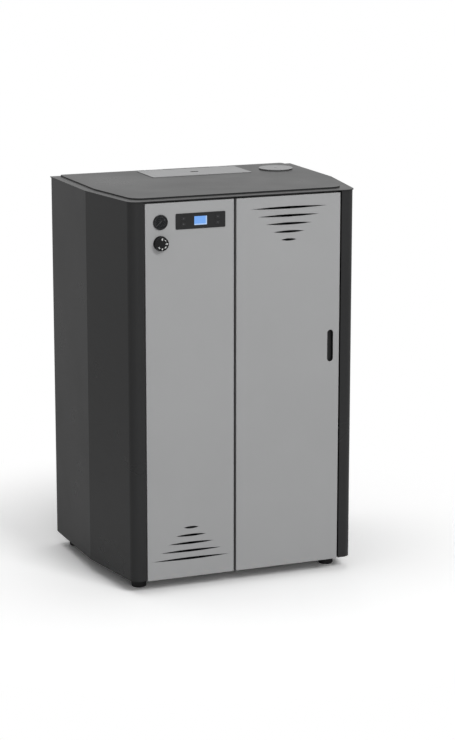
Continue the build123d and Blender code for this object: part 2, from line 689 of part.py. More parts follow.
def gauge_needle():
    """Pointer on a short hub, at rest on the lower left of the dial."""
    start = PANEL_FACE - GAUGE_PROUD + 1.8
    blade = make_face(Polyline((-1.4, -6), (1.4, -6), (0.4, 16), (-0.4, 16), close=True))
    pointer = front_slab(Rot(0, 0, 135) * blade, start, start + 0.6)
    pointer += front_slab(Circle(2.4), start, start + 1.5)
    return Pos(DIAL_X, 0, GAUGE_Z) * pointer


def gauge_glass():
    """Thin lens that closes the gauge."""
    start = PANEL_FACE - GAUGE_PROUD + 0.1
    return rod((DIAL_X, start, GAUGE_Z), DIAL_RADIUS - 2.7, 1.0, "+Y")


def thermostat_body():
    """Capillary thermostat behind the panel, with a bore for the knob's spindle."""
    start = PANEL_FACE + SHEET + SEAT
    half = 17.0
    x = (DIAL_X - half, DIAL_X + half)
    case = block(x, (start + 6, start + 34), (KNOB_Z - half, KNOB_Z + half))
    case += rod((DIAL_X, start, KNOB_Z), 9, 6, "+Y")
    bulb_tail = rod((DIAL_X, start + 34, KNOB_Z), 4, 12, "+Y")
    return case + bulb_tail - rod((DIAL_X, start, KNOB_Z), SPINDLE_RADIUS + FIT, 20, "+Y")


def thermostat_knob():
    """Stepped knob with grip flutes and its own spindle."""
    back = PANEL_FACE - SEAT - 0.7
    skirt = cone((DIAL_X, back, KNOB_Z), DIAL_RADIUS, DIAL_RADIUS - 1, 5, "-Y")
    grip = rod((DIAL_X, back - 5, KNOB_Z), DIAL_RADIUS - 2, KNOB_PROUD - 6, "-Y")
    flutes = 16
    for step in range(flutes):
        angle = 2 * math.pi * step / flutes
        x = DIAL_X + (DIAL_RADIUS - 0.6) * math.cos(angle)
        z = KNOB_Z + (DIAL_RADIUS - 0.6) * math.sin(angle)
        grip -= rod((x, back - 5, z), 2.4, KNOB_PROUD, "-Y")
    spindle = rod((DIAL_X, back, KNOB_Z), SPINDLE_RADIUS, 20, "+Y")
    return skirt + grip + spindle


# Boiler

def tube_places():
    """X of each vertical smoke tube."""
    span = FIRE_X[1] - FIRE_X[0] - 2 * TUBE_RADIUS
    return [FIRE_X[0] + TUBE_RADIUS + span * n / (TUBE_COUNT - 1) for n in range(TUBE_COUNT)]


def water_space():
    """Hollow of the water jacket, a plate's thickness away from every other space."""
    water = block(
        (BOILER_X[0] + PLATE, BOILER_X[1] - PLATE),
        (BOILER_Y[0] + PLATE, BOILER_Y[1] - PLATE),
        (JACKET_BOTTOM + PLATE, SMOKE_BOX_BOTTOM - PLATE),
    )
    wall_x = (FIRE_X[0] - PLATE, FIRE_X[1] + PLATE)
    water -= block(wall_x, (BOILER_Y[0], FIRE_BACK + PLATE), (JACKET_BOTTOM, FIREBOX_Z[1] + PLATE))
    for x in tube_places():
        water -= rod((x, TUBE_Y, FIREBOX_Z[1]), TUBE_RADIUS + 4, SMOKE_BOX_BOTTOM - FIREBOX_Z[1])
    water -= smoke_duct(PLATE)
    return water - chute_line(CHUTE_RADIUS + SEAT + PLATE, 0)


def smoke_duct(wall):
    """Flat upright duct behind the firebox, down to the fan, with a wall round it."""
    x = (SMOKE_DUCT_X[0] - wall, SMOKE_DUCT_X[1] + wall)
    y = (FIRE_BACK + 8 - wall, BOILER_Y[1] - 10 + min(wall, 10))
    return block(x, y, (FAN_Z - 40 - wall, SMOKE_BOX_BOTTOM))


def boiler_body():
    """Welded water jacket round the firebox, the smoke tubes and the smoke duct."""
    body = block(BOILER_X, BOILER_Y, (JACKET_BOTTOM, SMOKE_BOX_BOTTOM)) - water_space()
    leg_x = (SMOKE_DUCT_X[0] - PLATE, SMOKE_DUCT_X[1] + PLATE)
    body += block(leg_x, (FIRE_BACK + 8 - PLATE, BOILER_Y[1]), (FAN_Z - 40 - PLATE, JACKET_BOTTOM))
    body -= smoke_duct(0)
    body -= rod((sum(SMOKE_DUCT_X) / 2, BOILER_Y[1] - 11, FAN_Z), 22, 12, "+Y")
    front = BOILER_Y[0] - 1
    body -= block(FIRE_X, (front, FIRE_BACK), FIREBOX_Z)
    pot_x = (POT_X - POT_WIDTH / 2 + 8, POT_X + POT_WIDTH / 2 - 8)
    pot_y = (POT_Y - POT_DEPTH / 2 + 8, POT_Y + POT_DEPTH / 2 - 8)
    body -= block(pot_x, pot_y, (JACKET_BOTTOM, FIREBOX_Z[0]))
    for x in tube_places():
        body -= rod((x, TUBE_Y, FIREBOX_Z[1]), TUBE_RADIUS, SMOKE_BOX_BOTTOM - FIREBOX_Z[1])
    body -= chute_line(CHUTE_RADIUS + SEAT, 0)
    for z in (FLOW_Z, RISER_Z):
        body -= rod((BOILER_X[0] - 1, PIPE_Y, z), PIPE_BORE, PLATE + 2, "+X")
    for z in (FIRE_DOOR_Z[0] + 30, FIRE_DOOR_Z[1] - 70):
        body += fire_hinge_lug(z)
    return body


def ash_box():
    """Plate box under the boiler for the ash drawer, on two rails."""
    x = (FIRE_X[0] - PLATE, FIRE_X[1] + PLATE)
    box = block(x, (BOILER_Y[0], ASH_BACK + PLATE), (BOILER_Z[0], JACKET_BOTTOM - SEAT))
    box -= block(FIRE_X, (BOILER_Y[0] - 1, ASH_BACK), (ASH_Z[0], JACKET_BOTTOM))
    box -= rod((AIR_X, ASH_BACK - 1, AIR_Z), AIR_RADIUS - 4, PLATE + 2, "+Y")
    for low in (FIRE_X[0], FIRE_X[1] - 40):
        rail_z = (BASE + BASE_THICK + SEAT, BOILER_Z[0])
        box += block((low, low + 40), (BOILER_Y[0], ASH_BACK + PLATE), rail_z)
    return box


def smoke_box():
    """Open frame on the boiler's top plate, with the cleaning lever's bearing."""
    x = (FIRE_X[0] - SMOKE_BOX_WALL, FIRE_X[1] + SMOKE_BOX_WALL)
    front = BOILER_Y[0] + WATER_WALL
    z = (SMOKE_BOX_BOTTOM + SEAT, BOILER_Z[1])
    frame = block(x, (front - SMOKE_BOX_WALL, BOILER_Y[1]), z)
    frame -= block(FIRE_X, (front, BOILER_Y[1] - SMOKE_BOX_WALL), z)
    bearing = rod((LEVER_X, front - 16, LEVER_Z), LEVER_SHAFT_RADIUS + 5, 10, "+Y")
    bore = rod((LEVER_X, front - 17, LEVER_Z), LEVER_SHAFT_RADIUS + FIT, 18, "+Y")
    return frame + bearing - bore


def fire_hinge_lug(z):
    """Welded lug with a pin, on which one hinge eye of the firebox door turns."""
    x = (FIRE_HINGE_X - FIRE_HINGE_RADIUS, FIRE_HINGE_X + FIRE_HINGE_RADIUS)
    lug = block(x, (FIRE_HINGE_Y, BOILER_Y[0]), (z - 12, z))
    lug += rod((FIRE_HINGE_X, FIRE_HINGE_Y, z - 12), FIRE_HINGE_RADIUS + 2, 12)
    return lug + rod((FIRE_HINGE_X, FIRE_HINGE_Y, z), FIRE_HINGE_RADIUS - 2, 34)


def exchanger_cover():
    """Clean-out plate on top of the smoke box, with two wing knobs."""
    bottom = BOILER_Z[1] + SEAT
    x = (BOILER_X[0] + 12, BOILER_X[1] - 12)
    y = (BOILER_Y[0] + 12, BOILER_Y[1] - 2)
    cover = block(x, y, (bottom, bottom + COVER_THICK))
    for place in (x[0] + 30, x[1] - 30):
        cover += rod((place, (y[0] + y[1]) / 2, bottom + COVER_THICK), 14, 14)
    return cover


def firebox_lining():
    """One-piece insulating casting round the firebox's two sides and its back."""
    z = (FIREBOX_Z[0] + SEAT, FIREBOX_Z[1] - 40)
    front = BOILER_Y[0] + 4
    lining = block((FIRE_X[0] + SEAT, FIRE_X[1] - SEAT), (front, FIRE_BACK - SEAT), z)
    lining -= block((FIRE_X[0] + BRICK, FIRE_X[1] - BRICK), (front, FIRE_BACK - BRICK), z)
    return lining - chute_line(CHUTE_RADIUS + 2, 0)


def burn_pot():
    """Cast cup with a flange that rests on the firebox floor, and air holes."""
    x = (POT_X - POT_WIDTH / 2, POT_X + POT_WIDTH / 2)
    y = (POT_Y - POT_DEPTH / 2, POT_Y + POT_DEPTH / 2)
    top = FIREBOX_Z[0] + SEAT + 8
    bottom = FIREBOX_Z[0] - POT_DROP + 8
    edge = 10.0
    flange = block(x, y, (FIREBOX_Z[0] + SEAT, top))
    cup_x = (x[0] + edge, x[1] - edge)
    cup_y = (y[0] + edge, y[1] - edge)
    cup = flange + block(cup_x, cup_y, (bottom, top))
    hollow_x = (cup_x[0] + POT_WALL, cup_x[1] - POT_WALL)
    hollow_y = (cup_y[0] + POT_WALL, cup_y[1] - POT_WALL)
    cup -= block(hollow_x, hollow_y, (bottom + POT_WALL, top))
    holes = 4
    for column in range(holes):
        for row in range(holes - 1):
            px = hollow_x[0] + (hollow_x[1] - hollow_x[0]) * (column + 0.5) / holes
            py = hollow_y[0] + (hollow_y[1] - hollow_y[0]) * (row + 0.5) / (holes - 1)
            cup -= rod((px, py, bottom), 3.5, POT_WALL)
    return cup


def ash_drawer():
    """Sheet drawer with a thick front plate and a bar handle."""
    x = (FIRE_X[0] + 3, FIRE_X[1] - 3)
    z = (ASH_Z[0] + SEAT, ASH_Z[0] + 84)
    back = FIRE_BACK - 40
    front = BOILER_Y[0] - SEAT
    tray = block(x, (front, back), z)
    tray -= block((x[0] + 2, x[1] - 2), (front, back - 2), (z[0] + 2, z[1]))
    plate_x = (FIRE_X[0] - 12, FIRE_X[1] + 12)
    plate = block(plate_x, (front - 6, front), (ASH_Z[0] - 8, ASH_Z[1] - 4))
    z_bar = (ASH_Z[0] + ASH_Z[1]) / 2
    handle = block((POT_X - 45, POT_X + 45), (front - 28, front - 20), (z_bar - 5, z_bar + 5))
    for side in (-1, 1):
        handle += rod((POT_X + side * 38, front - 24, z_bar), 4, 18, "+Y")
    return tray + plate + handle


def firebox_door():
    """Cast door with a raised centre panel, hinge eyes and a rope groove."""
    door = block(FIRE_DOOR_X, (FIRE_DOOR_FRONT, FIRE_DOOR_BACK), FIRE_DOOR_Z)
    raised_x = (FIRE_DOOR_X[0] + 30, FIRE_DOOR_X[1] - 44)
    raised_z = (FIRE_DOOR_Z[0] + 30, FIRE_DOOR_Z[1] - 30)
    door += block(raised_x, (FIRE_DOOR_FRONT - 4, FIRE_DOOR_FRONT), raised_z)
    for z in (FIRE_DOOR_Z[0] + 30 + SEAT, FIRE_DOOR_Z[1] - 70 + SEAT):
        eye = rod((FIRE_HINGE_X, FIRE_HINGE_Y, z), FIRE_HINGE_RADIUS + 2, 30)
        eye += block((FIRE_HINGE_X, FIRE_DOOR_X[0]), (FIRE_HINGE_Y - 4, FIRE_HINGE_Y + 4), (z, z + 30))
        door += eye
        door -= rod((FIRE_HINGE_X, FIRE_HINGE_Y, z), FIRE_HINGE_RADIUS - 2 + FIT, 30)
    door -= rod((latch_x(), FIRE_DOOR_FRONT - 1, latch_z()), 6 + FIT, FIRE_DOOR_THICK + 2, "+Y")
    return door


def latch_x():
    """Axis of the firebox door's handle, near its free edge."""
    return FIRE_DOOR_X[1] - 16


def latch_z():
    """Height of the firebox door's handle."""
    return (FIRE_DOOR_Z[0] + FIRE_DOOR_Z[1]) / 2


def firebox_door_seal():
    """Square rope that lies on the door's rear face, round the firebox opening."""
    x = (FIRE_DOOR_X[0] + 6, FIRE_DOOR_X[1] - 30)
    z = (FIRE_DOOR_Z[0] + 4, FIRE_DOOR_Z[1] - 4)
    y = (FIRE_DOOR_BACK + 0.1, BOILER_Y[0] - 0.2)
    rope = block(x, y, z)
    return rope - block((x[0] + ROPE, x[1] - ROPE), y, (z[0] + ROPE, z[1] - ROPE))


def firebox_door_handle():
    """Lever handle with its shaft through the door and the latch tongue behind."""
    x = latch_x()
    z = latch_z()
    front = FIRE_DOOR_FRONT - 22
    shaft = rod((x, front, z), 6, FIRE_DOOR_BACK + 2 * SEAT - front, "+Y")
    tongue = block((x - 8, x + 18), (FIRE_DOOR_BACK + SEAT, FIRE_DOOR_BACK + 6), (z - 7, z + 7))
    lever = block((x - 7, x + 7), (front, front + 8), (z - HANDLE_LENGTH, z))
    lever += rod((x, front, z), 11, 12, "+Y")
    grip = rod((x, front + 4, z - HANDLE_LENGTH), 9, 70)
    return shaft + tongue + lever + grip


def turbulators():
    """Twisted strips in the smoke tubes, hung by flat stems from one carrier bar."""
    bottom = SMOKE_BOX_BOTTOM + LIFT_BAR
    x = tube_places()
    bar = block((x[0] - 5, x[-1] + 5), (TUBE_Y - 6, TUBE_Y + 6), (bottom, bottom + 8))
    last = TURBULATOR_SECTION_COUNT - 1
    middle = last // 2
    drop = TURBULATOR_LENGTH / last
    for place in x:
        stem_z = (bottom - TURBULATOR_STEM, bottom)
        bar += block((place - 4, place + 4), (TUBE_Y - 1.25, TUBE_Y + 1.25), stem_z)
        faces = []
        for step in range(last + 1):
            spot = Pos(place, TUBE_Y, stem_z[0] + 1 - step * drop)
            turn = 360.0 * TURBULATOR_TURN_SHARE * step / last
            faces.append(spot * Rot(0, 0, turn) * Rectangle(TURBULATOR_WIDTH, 2.5))
        bar += loft(faces[:middle + 1]) + loft(faces[middle:])
    return bar


def cleaning_lever():
    """Shaft through the boiler's front, with a hand lever and a lifting arm."""
    front = FRAME_FRONT - 6
    pin_z = SMOKE_BOX_BOTTOM + LIFT_BAR - LIFT_PIN_RADIUS - SEAT
    arm_y = (TUBE_Y + 6.5, TUBE_Y + 14.5)
    length = math.hypot(LIFT_PIN_X - LEVER_X, LEVER_Z - pin_z)
    dip = math.degrees(math.atan2(LEVER_Z - pin_z, LIFT_PIN_X - LEVER_X))
    shaft = rod((LEVER_X, front, LEVER_Z), LEVER_SHAFT_RADIUS, arm_y[1] - front, "+Y")
    arm = Pos(LEVER_X, 0, LEVER_Z) * Rot(0, dip, 0) * block((0, length), arm_y, (-4, 4))
    arm += rod((LIFT_PIN_X, TUBE_Y - 8, pin_z), LIFT_PIN_RADIUS, arm_y[1] - TUBE_Y + 8, "+Y")
    hand = block((LEVER_X, LEVER_X + LEVER_LENGTH), (front, front + 6), (LEVER_Z - 8, LEVER_Z + 8))
    hand += rod((LEVER_X, front, LEVER_Z), 12, 6, "+Y")
    knob = rod((LEVER_X + LEVER_LENGTH - 40, front + 3, LEVER_Z), 8, 60, "+X")
    return shaft + arm + hand + knob


# Fuel feed

def hopper():
    """Sheet hopper: neck under the hatch, straight bin and a funnel to the auger."""
    def body(wall, ends):
        x = (HOPPER_X[0] + wall, HOPPER_X[1] - wall)
        y = (HOPPER_Y[0] + wall, HOPPER_Y[1] - wall)
        shape = block(x, y, (HOPPER_Z[0], HOPPER_Z[1] - wall))
        wide = Pos((x[0] + x[1]) / 2, (y[0] + y[1]) / 2, HOPPER_Z[0])
        wide *= Rectangle(x[1] - x[0], y[1] - y[0])
        narrow = Pos(THROAT_X, THROAT_Y, THROAT_Z)
        narrow *= Rectangle(THROAT_WIDTH - 2 * wall, THROAT_DEPTH - 2 * wall)
        shape += loft([narrow, wide], ruled=True)
        spread = 2 * SHEET - wall
        neck_x = (MOUTH_X[0] - spread, MOUTH_X[1] + spread)
        neck_y = (MOUTH_Y[0] - spread, MOUTH_Y[1] + spread)
        shape += block(neck_x, neck_y, (HOPPER_Z[1] - 10, LID_TOP - SHEET - SEAT + ends))
        foot_x = (THROAT_X - THROAT_WIDTH / 2 + wall, THROAT_X + THROAT_WIDTH / 2 - wall)
        foot_y = (THROAT_Y - THROAT_DEPTH / 2 + wall, THROAT_Y + THROAT_DEPTH / 2 - wall)
        return shape + block(foot_x, foot_y, (THROAT_Z - 12 - ends, THROAT_Z))
    bin_shell = body(0, 0) - body(SHEET, 1)
    strap_z = (TOP - HOPPER_STRAP_DROP, TOP - HOPPER_STRAP_DROP + HOPPER_STRAP_THICK)
    for x in (HOPPER_X[0] + HOPPER_STRAP_WIDTH, HOPPER_X[1] - 2 * HOPPER_STRAP_WIDTH):
        bin_shell += block((x, x + HOPPER_STRAP_WIDTH), (HOPPER_Y[1] - SHEET, REAR_INSIDE - SEAT), strap_z)
    return bin_shell


def hopper_hatch():
    """Flat hatch with a pressed finger cup and two hinge knuckles."""
    plate = RectangleRounded(HATCH_WIDTH, HATCH_DEPTH, 6)
    hatch = slab(Pos(HATCH_X, HATCH_Y) * plate, HATCH_BOTTOM, HATCH_BOTTOM + HATCH_THICK)
    spot = Pos(HATCH_X, HATCH_Y)
    cup = spot * SlotOverall(FINGER_SLOT + 3, FINGER_SLOT_DEPTH + 3)
    hollow = spot * SlotOverall(FINGER_SLOT, FINGER_SLOT_DEPTH)
    hatch += slab(cup, HATCH_BOTTOM - 12, HATCH_BOTTOM)
    hatch -= slab(hollow, HATCH_BOTTOM - 12 + SHEET, HATCH_BOTTOM + HATCH_THICK)
    edge = HATCH_Y + HATCH_DEPTH / 2
    for x in hatch_knuckles():
        reach = (x[0] + 0.5, x[1] - 0.5)
        hatch += block(reach, (edge - 4, HATCH_AXIS_Y), (HATCH_BOTTOM + 0.2, HATCH_BOTTOM + HATCH_THICK))
        axis = (reach[0], HATCH_AXIS_Y, HATCH_AXIS_Z)
        hatch += rod(axis, HATCH_BARREL, reach[1] - reach[0], "+X")
        hatch -= rod(axis, HATCH_PIN + FIT, reach[1] - reach[0], "+X")
    return hatch


def hatch_knuckles():
    """X ranges of the knuckles that turn with the hatch."""
    length = 40.0
    offset = HATCH_WIDTH / 2 - 60
    return [(HATCH_X + side * offset - length / 2, HATCH_X + side * offset + length / 2) for side in (-1, 1)]


def hatch_hinge():
    """Fixed knuckles with their pins, on feet that stand on the lid."""
    parts = []
    for x in hatch_knuckles():
        pin = rod((x[0] - 14, HATCH_AXIS_Y, HATCH_AXIS_Z), HATCH_PIN, x[1] - x[0] + 28, "+X")
        for low in (x[0] - 14, x[1]):
            pin += rod((low, HATCH_AXIS_Y, HATCH_AXIS_Z), HATCH_BARREL, 14, "+X")
            feet_y = (HATCH_AXIS_Y - HATCH_BARREL, HATCH_AXIS_Y + HATCH_BARREL)
            pin += block((low, low + 14), feet_y, (LID_TOP, HATCH_AXIS_Z))
        parts.append(pin)
    return parts


def hatch_seal():
    """Rubber frame under the hatch that closes the hopper's mouth."""
    gap = 1.0
    width = 8.0
    x = (MOUTH_X[0] + gap, MOUTH_X[1] - gap)
    y = (MOUTH_Y[0] + gap, MOUTH_Y[1] - gap)
    z = (HATCH_BOTTOM - 4, HATCH_BOTTOM)
    return block(x, y, z) - block((x[0] + width, x[1] - width), (y[0] + width, y[1] - width), z)


def auger_frame():
    """Location at the auger's lower end with its Z along the auger."""
    return Pos(*AUGER_ORIGIN) * Rot(*AUGER_TILT)


def auger_tube():
    """Inclined tube with an inlet collar, an outlet on its front and a leg."""
    outer = AUGER_BORE + AUGER_WALL
    base = (Align.CENTER, Align.CENTER, Align.MIN)
    body = auger_frame() * Cylinder(outer, AUGER_LENGTH, align=base)
    x = (THROAT_X - THROAT_WIDTH / 2 - 2.5, THROAT_X + THROAT_WIDTH / 2 + 2.5)
    y = (THROAT_Y - THROAT_DEPTH / 2 - 2.5, THROAT_Y + THROAT_DEPTH / 2 + 2.5)
    collar_top = THROAT_Z - SEAT
    collar = block(x, y, (THROAT_Z - AUGER_DROP, collar_top))
    body += collar
    leg_x = (THROAT_X + 20, THROAT_X + 26)
    body += block(leg_x, (y[0] + 5, y[1] - 5), (BASE + BASE_THICK + SEAT, THROAT_Z - AUGER_DROP + 10))
    foot = block((THROAT_X, THROAT_X + 50), (y[0], y[1]), (BASE + BASE_THICK + SEAT, BASE + BASE_THICK + 5))
    body += foot
    inlet_x = (x[0] + 2.5 - SEAT, x[1] - 2.5 + SEAT)
    inlet_y = (y[0] + 2.5 - SEAT, y[1] - 2.5 + SEAT)
    body -= block(inlet_x, inlet_y, (THROAT_Z - AUGER_DROP + 5, collar_top))
    body -= auger_frame() * Pos(0, 0, 8) * Cylinder(AUGER_BORE, AUGER_LENGTH - 16, align=base)
    body -= auger_frame() * Cylinder(AUGER_CORE + FIT, AUGER_LENGTH, align=base)
    return body - chute_line(CHUTE_RADIUS - 2, 0)


def auger_screw():
    """Shaft with one long helical flight."""
    base = (Align.CENTER, Align.CENTER, Align.MIN)
    start = 14.0
    run = AUGER_LENGTH - 2 * start
    shaft = Pos(0, 0, -40) * Cylinder(AUGER_CORE, AUGER_LENGTH + 40, align=base)
    root = AUGER_CORE - 1.0
    path = Helix(AUGER_PITCH, run - AUGER_PITCH / 4, (root + AUGER_RADIUS) / 2)
    slope = path % 0
    section = Plane(origin=path @ 0, x_dir=(1, 0, 0), z_dir=slope) * Rectangle(AUGER_RADIUS - root, 3)
    flight = sweep(section, path=path, is_frenet=True)
    return auger_frame() * (shaft + Pos(0, 0, start + 2) * flight)


def auger_gearmotor():
    """Gearbox on the tube's lower end, with its motor and the laminated stack."""
    base = (Align.CENTER, Align.CENTER, Align.MAX)
    plate = Pos(0, 0, -SEAT) * Box(76, 76, 5, align=base)
    gears = Pos(0, 0, -5 - SEAT) * Box(70, 64, 32, align=base)
    stack = Pos(6, 0, -37 - SEAT) * Box(50, 60, 40, align=base)
    can = Pos(6, 0, -77 - SEAT) * Cylinder(20, 22, align=base)
    motor = plate + gears + stack + can
    motor -= Pos(0, 0, 1) * Cylinder(AUGER_CORE + FIT, 45, align=base)
    return auger_frame() * motor


def chute_line(radius, trim):
    """Solid bar along the pellet chute, from the auger's top down into the firebox."""
    top = chute_top()
    drop = top[1] - FIRE_BACK + BRICK
    length = drop * math.sqrt(2)
    base = (Align.CENTER, Align.CENTER, Align.MIN)
    bar = Cylinder(radius, length - trim, align=base)
    return Pos(*top) * Rot(135, 0, 0) * bar


def chute_top():
    """Where the chute's axis meets the auger's axis."""
    lean = math.radians(AUGER_LEAN)
    rise = (CHUTE_X - AUGER_ORIGIN[0]) * math.tan(lean)
    return (CHUTE_X, THROAT_Y, AUGER_ORIGIN[2] + rise)


def pellet_chute():
    """Sloping tube that drops the pellets from the auger into the burn pot."""
    chute = chute_line(CHUTE_RADIUS, 0) - chute_line(CHUTE_RADIUS - 2, -5)
    base = (Align.CENTER, Align.CENTER, Align.MIN)
    chute -= auger_frame() * Cylinder(AUGER_BORE + AUGER_WALL + SEAT, AUGER_LENGTH + 10, align=base)
    return max(chute.solids(), key=lambda solid: solid.volume)


# Smoke fan

def fan_outlet_x():
    """X of the rear flue spigot."""
    return (FAN_X[0] + FAN_X[1]) / 2


def fan_outlet_z():
    """Height of the rear flue spigot, the middle of the scroll's outlet duct."""
    return FAN_Z + (SCROLL_RADIUS + 5 * SCROLL_GROWTH + DUCT_BOTTOM) / 2


def scroll(inset):
    """Volute outline of four quarter arcs whose radius grows in steps."""
    g = SCROLL_GROWTH
    r = SCROLL_RADIUS - inset
    first = CenterArc((0, 0), r, -90, 90)
    second = CenterArc((-g, 0), r + g, 0, 90)
    third = CenterArc((-g, -g), r + 2 * g, 90, 90)
    fourth = CenterArc((g, -g), r + 4 * g, 180, 90)
    closing = Polyline(fourth @ 1, (g, -r), (0, -r))
    return make_face([first, second, third, fourth, *closing.edges()])


def fan_plane(x):
    """Upright plane across the fan's axis, upside down so the outlet is on top."""
    return Plane(origin=(x, FAN_Y, FAN_Z), x_dir=(0, 1, 0), z_dir=(-1, 0, 0))


def fan_housing():
    """Scroll casing with an inlet box, an outlet duct and a round collar."""
    wall = 2.5
    x = FAN_X
    inside_x = (FAN_X[0] + wall, FAN_X[1] - wall)
    duct_y = (FAN_Y - SCROLL_GROWTH, FAN_Y + SCROLL_RADIUS + 2)
    duct_z = (FAN_Z + DUCT_BOTTOM, FAN_Z + SCROLL_RADIUS + 5 * SCROLL_GROWTH)
    box_x = (SMOKE_DUCT_X[0] - 2, FAN_X[0])
    box_y = (BOILER_Y[1] + SEAT, FAN_Y + 30)
    outlet = (fan_outlet_x(), duct_y[1], fan_outlet_z())
    case = extrude(fan_plane(x[0]) * scroll(0), x[1] - x[0], dir=(1, 0, 0))
    case += block(x, duct_y, duct_z)
    case += rod(outlet, FLUE_RADIUS + 6, 4, "+Y")
    case += rod(outlet, FLUE_RADIUS - 2 - SEAT, 24, "+Y")
    case += block(box_x, box_y, (FAN_Z - 30, FAN_Z + 30))
    case -= extrude(fan_plane(inside_x[0]) * scroll(wall), inside_x[1] - inside_x[0], dir=(1, 0, 0))
    case -= block(inside_x, duct_y, (duct_z[0] + wall, duct_z[1] - wall))
    case -= rod(outlet, FLUE_RADIUS - 5, 24, "+Y")
    hollow_y = (box_y[0] + wall, box_y[1] - wall)
    case -= block((box_x[0] + wall, box_x[1]), hollow_y, (FAN_Z - 30 + wall, FAN_Z + 30 - wall))
    case -= rod((sum(SMOKE_DUCT_X) / 2, box_y[0], FAN_Z), 22, wall, "+Y")
    case -= rod((FAN_X[0] - 1, FAN_Y, FAN_Z), 22, wall + 2, "+X")
    case -= rod((inside_x[1] - 1, FAN_Y, FAN_Z), FAN_SHAFT_RADIUS + FIT, wall + 2, "+X")
    leg_z = (BASE + BASE_THICK, FAN_Z - SCROLL_RADIUS + 6)
    return case + block((x[0], x[0] + 3), (FAN_Y - 40, FAN_Y + 40), leg_z)


def fan_impeller():
    """Back plate, radial blades and hub on the motor's shaft."""
    back = FAN_X[1] - 9
    wheel = rod((back, FAN_Y, FAN_Z), IMPELLER_RADIUS, 2, "+X")
    wheel += rod((back - 26, FAN_Y, FAN_Z), 11, 26, "+X")
    blade = Box(36, IMPELLER_RADIUS - 12, 2)
    for n in range(IMPELLER_BLADES):
        reach = Pos(-18, (IMPELLER_RADIUS + 8) / 2, 0) * blade
        wheel += Pos(back, FAN_Y, FAN_Z) * Rot(360 * n / IMPELLER_BLADES, 0, 0) * reach
    return wheel + rod((back, FAN_Y, FAN_Z), FAN_SHAFT_RADIUS, 40, "+X")


def fan_motor():
    """Motor can on the housing's side, with a bore for the impeller's shaft."""
    start = FAN_X[1] + SEAT
    motor = rod((start, FAN_Y, FAN_Z), 52, 4, "+X")
    motor += rod((start + 4, FAN_Y, FAN_Z), 40, 46, "+X")
    motor += rod((start + 50, FAN_Y, FAN_Z), 30, 22, "+X")
    return motor - rod((start, FAN_Y, FAN_Z), FAN_SHAFT_RADIUS + FIT, 36, "+X")


def flue_spigot():
    """Round smoke outlet that leaves through the back."""
    x = fan_outlet_x()
    z = fan_outlet_z()
    start = FAN_Y + SCROLL_RADIUS + 6 + SEAT
    spigot = tube((x, start, z), FLUE_RADIUS - 1, FLUE_RADIUS - 2, BACK - start, "+Y")
    return spigot + tube((x, BACK, z), FLUE_RADIUS, FLUE_RADIUS - 2, REAR_REACH, "+Y")


def air_intake():
    """Combustion air tube from the back to the ash box."""
    start = ASH_BACK + PLATE + SEAT
    intake = tube((AIR_X, start, AIR_Z), AIR_RADIUS - 1, AIR_RADIUS - 2, BACK - start, "+Y")
    intake += tube((AIR_X, start, AIR_Z), AIR_RADIUS + 8, AIR_RADIUS - 2, 3, "+Y")
    return intake + tube((AIR_X, BACK, AIR_Z), AIR_RADIUS, AIR_RADIUS - 2, REAR_REACH, "+Y")


# Water side

def bent_pipe(points):
    """Tube along straight runs with tangent bends."""
    path = FilletPolyline(*points, radius=PIPE_BEND)
    start = Plane(origin=path @ 0, z_dir=path % 0)
    return sweep(start * (Circle(PIPE_RADIUS) - Circle(PIPE_BORE)), path=path)


def rear_port(z):
    """Hexagon and threaded end of a water connection, standing out of the back."""
    start = REAR_INSIDE - 24
    port = tube((PORT_X, start, z), THREAD_RADIUS - 1.4, PIPE_BORE, BACK - start, "+Y")
    port += tube((PORT_X, BACK, z), THREAD_RADIUS, PIPE_BORE, REAR_REACH, "+Y")
    nut = Plane(origin=(PORT_X, start, z), z_dir=(0, 1, 0)) * RegularPolygon(21, 6)
    ring = extrude(nut, 12, dir=(0, 1, 0)) - rod((PORT_X, start, z), PIPE_BORE, 12, "+Y")
    return port + ring


def flow_pipe():
    """Hot pipe from the boiler's side to the upper rear port."""
    points = [
        (BOILER_X[0] - SEAT, PIPE_Y, FLOW_Z),
        (PORT_X, PIPE_Y, FLOW_Z),
        (PORT_X, PIPE_Y, FLOW_PORT_Z),
        (PORT_X, REAR_INSIDE - 20, FLOW_PORT_Z),
    ]
    return bent_pipe(points) + rear_port(FLOW_PORT_Z)


def return_pipe():
    """Cold pipe from the lower rear port to the underside of the pump."""
    points = [
        (PORT_X, REAR_INSIDE - 20, RETURN_PORT_Z),
        (PORT_X, PIPE_Y, RETURN_PORT_Z),
        (PUMP_X, PIPE_Y, RETURN_PORT_Z),
        (PUMP_X, PIPE_Y, PUMP_Z[0] - SEAT),
    ]
    return bent_pipe(points) + rear_port(RETURN_PORT_Z)


def pump_pipe():
    """Pipe from the top of the pump to the boiler's side."""
    points = [
        (PUMP_X, PIPE_Y, PUMP_Z[1] + SEAT),
        (PUMP_X, PIPE_Y, RISER_Z),
        (BOILER_X[0] - SEAT, PIPE_Y, RISER_Z),
    ]
    return bent_pipe(points)


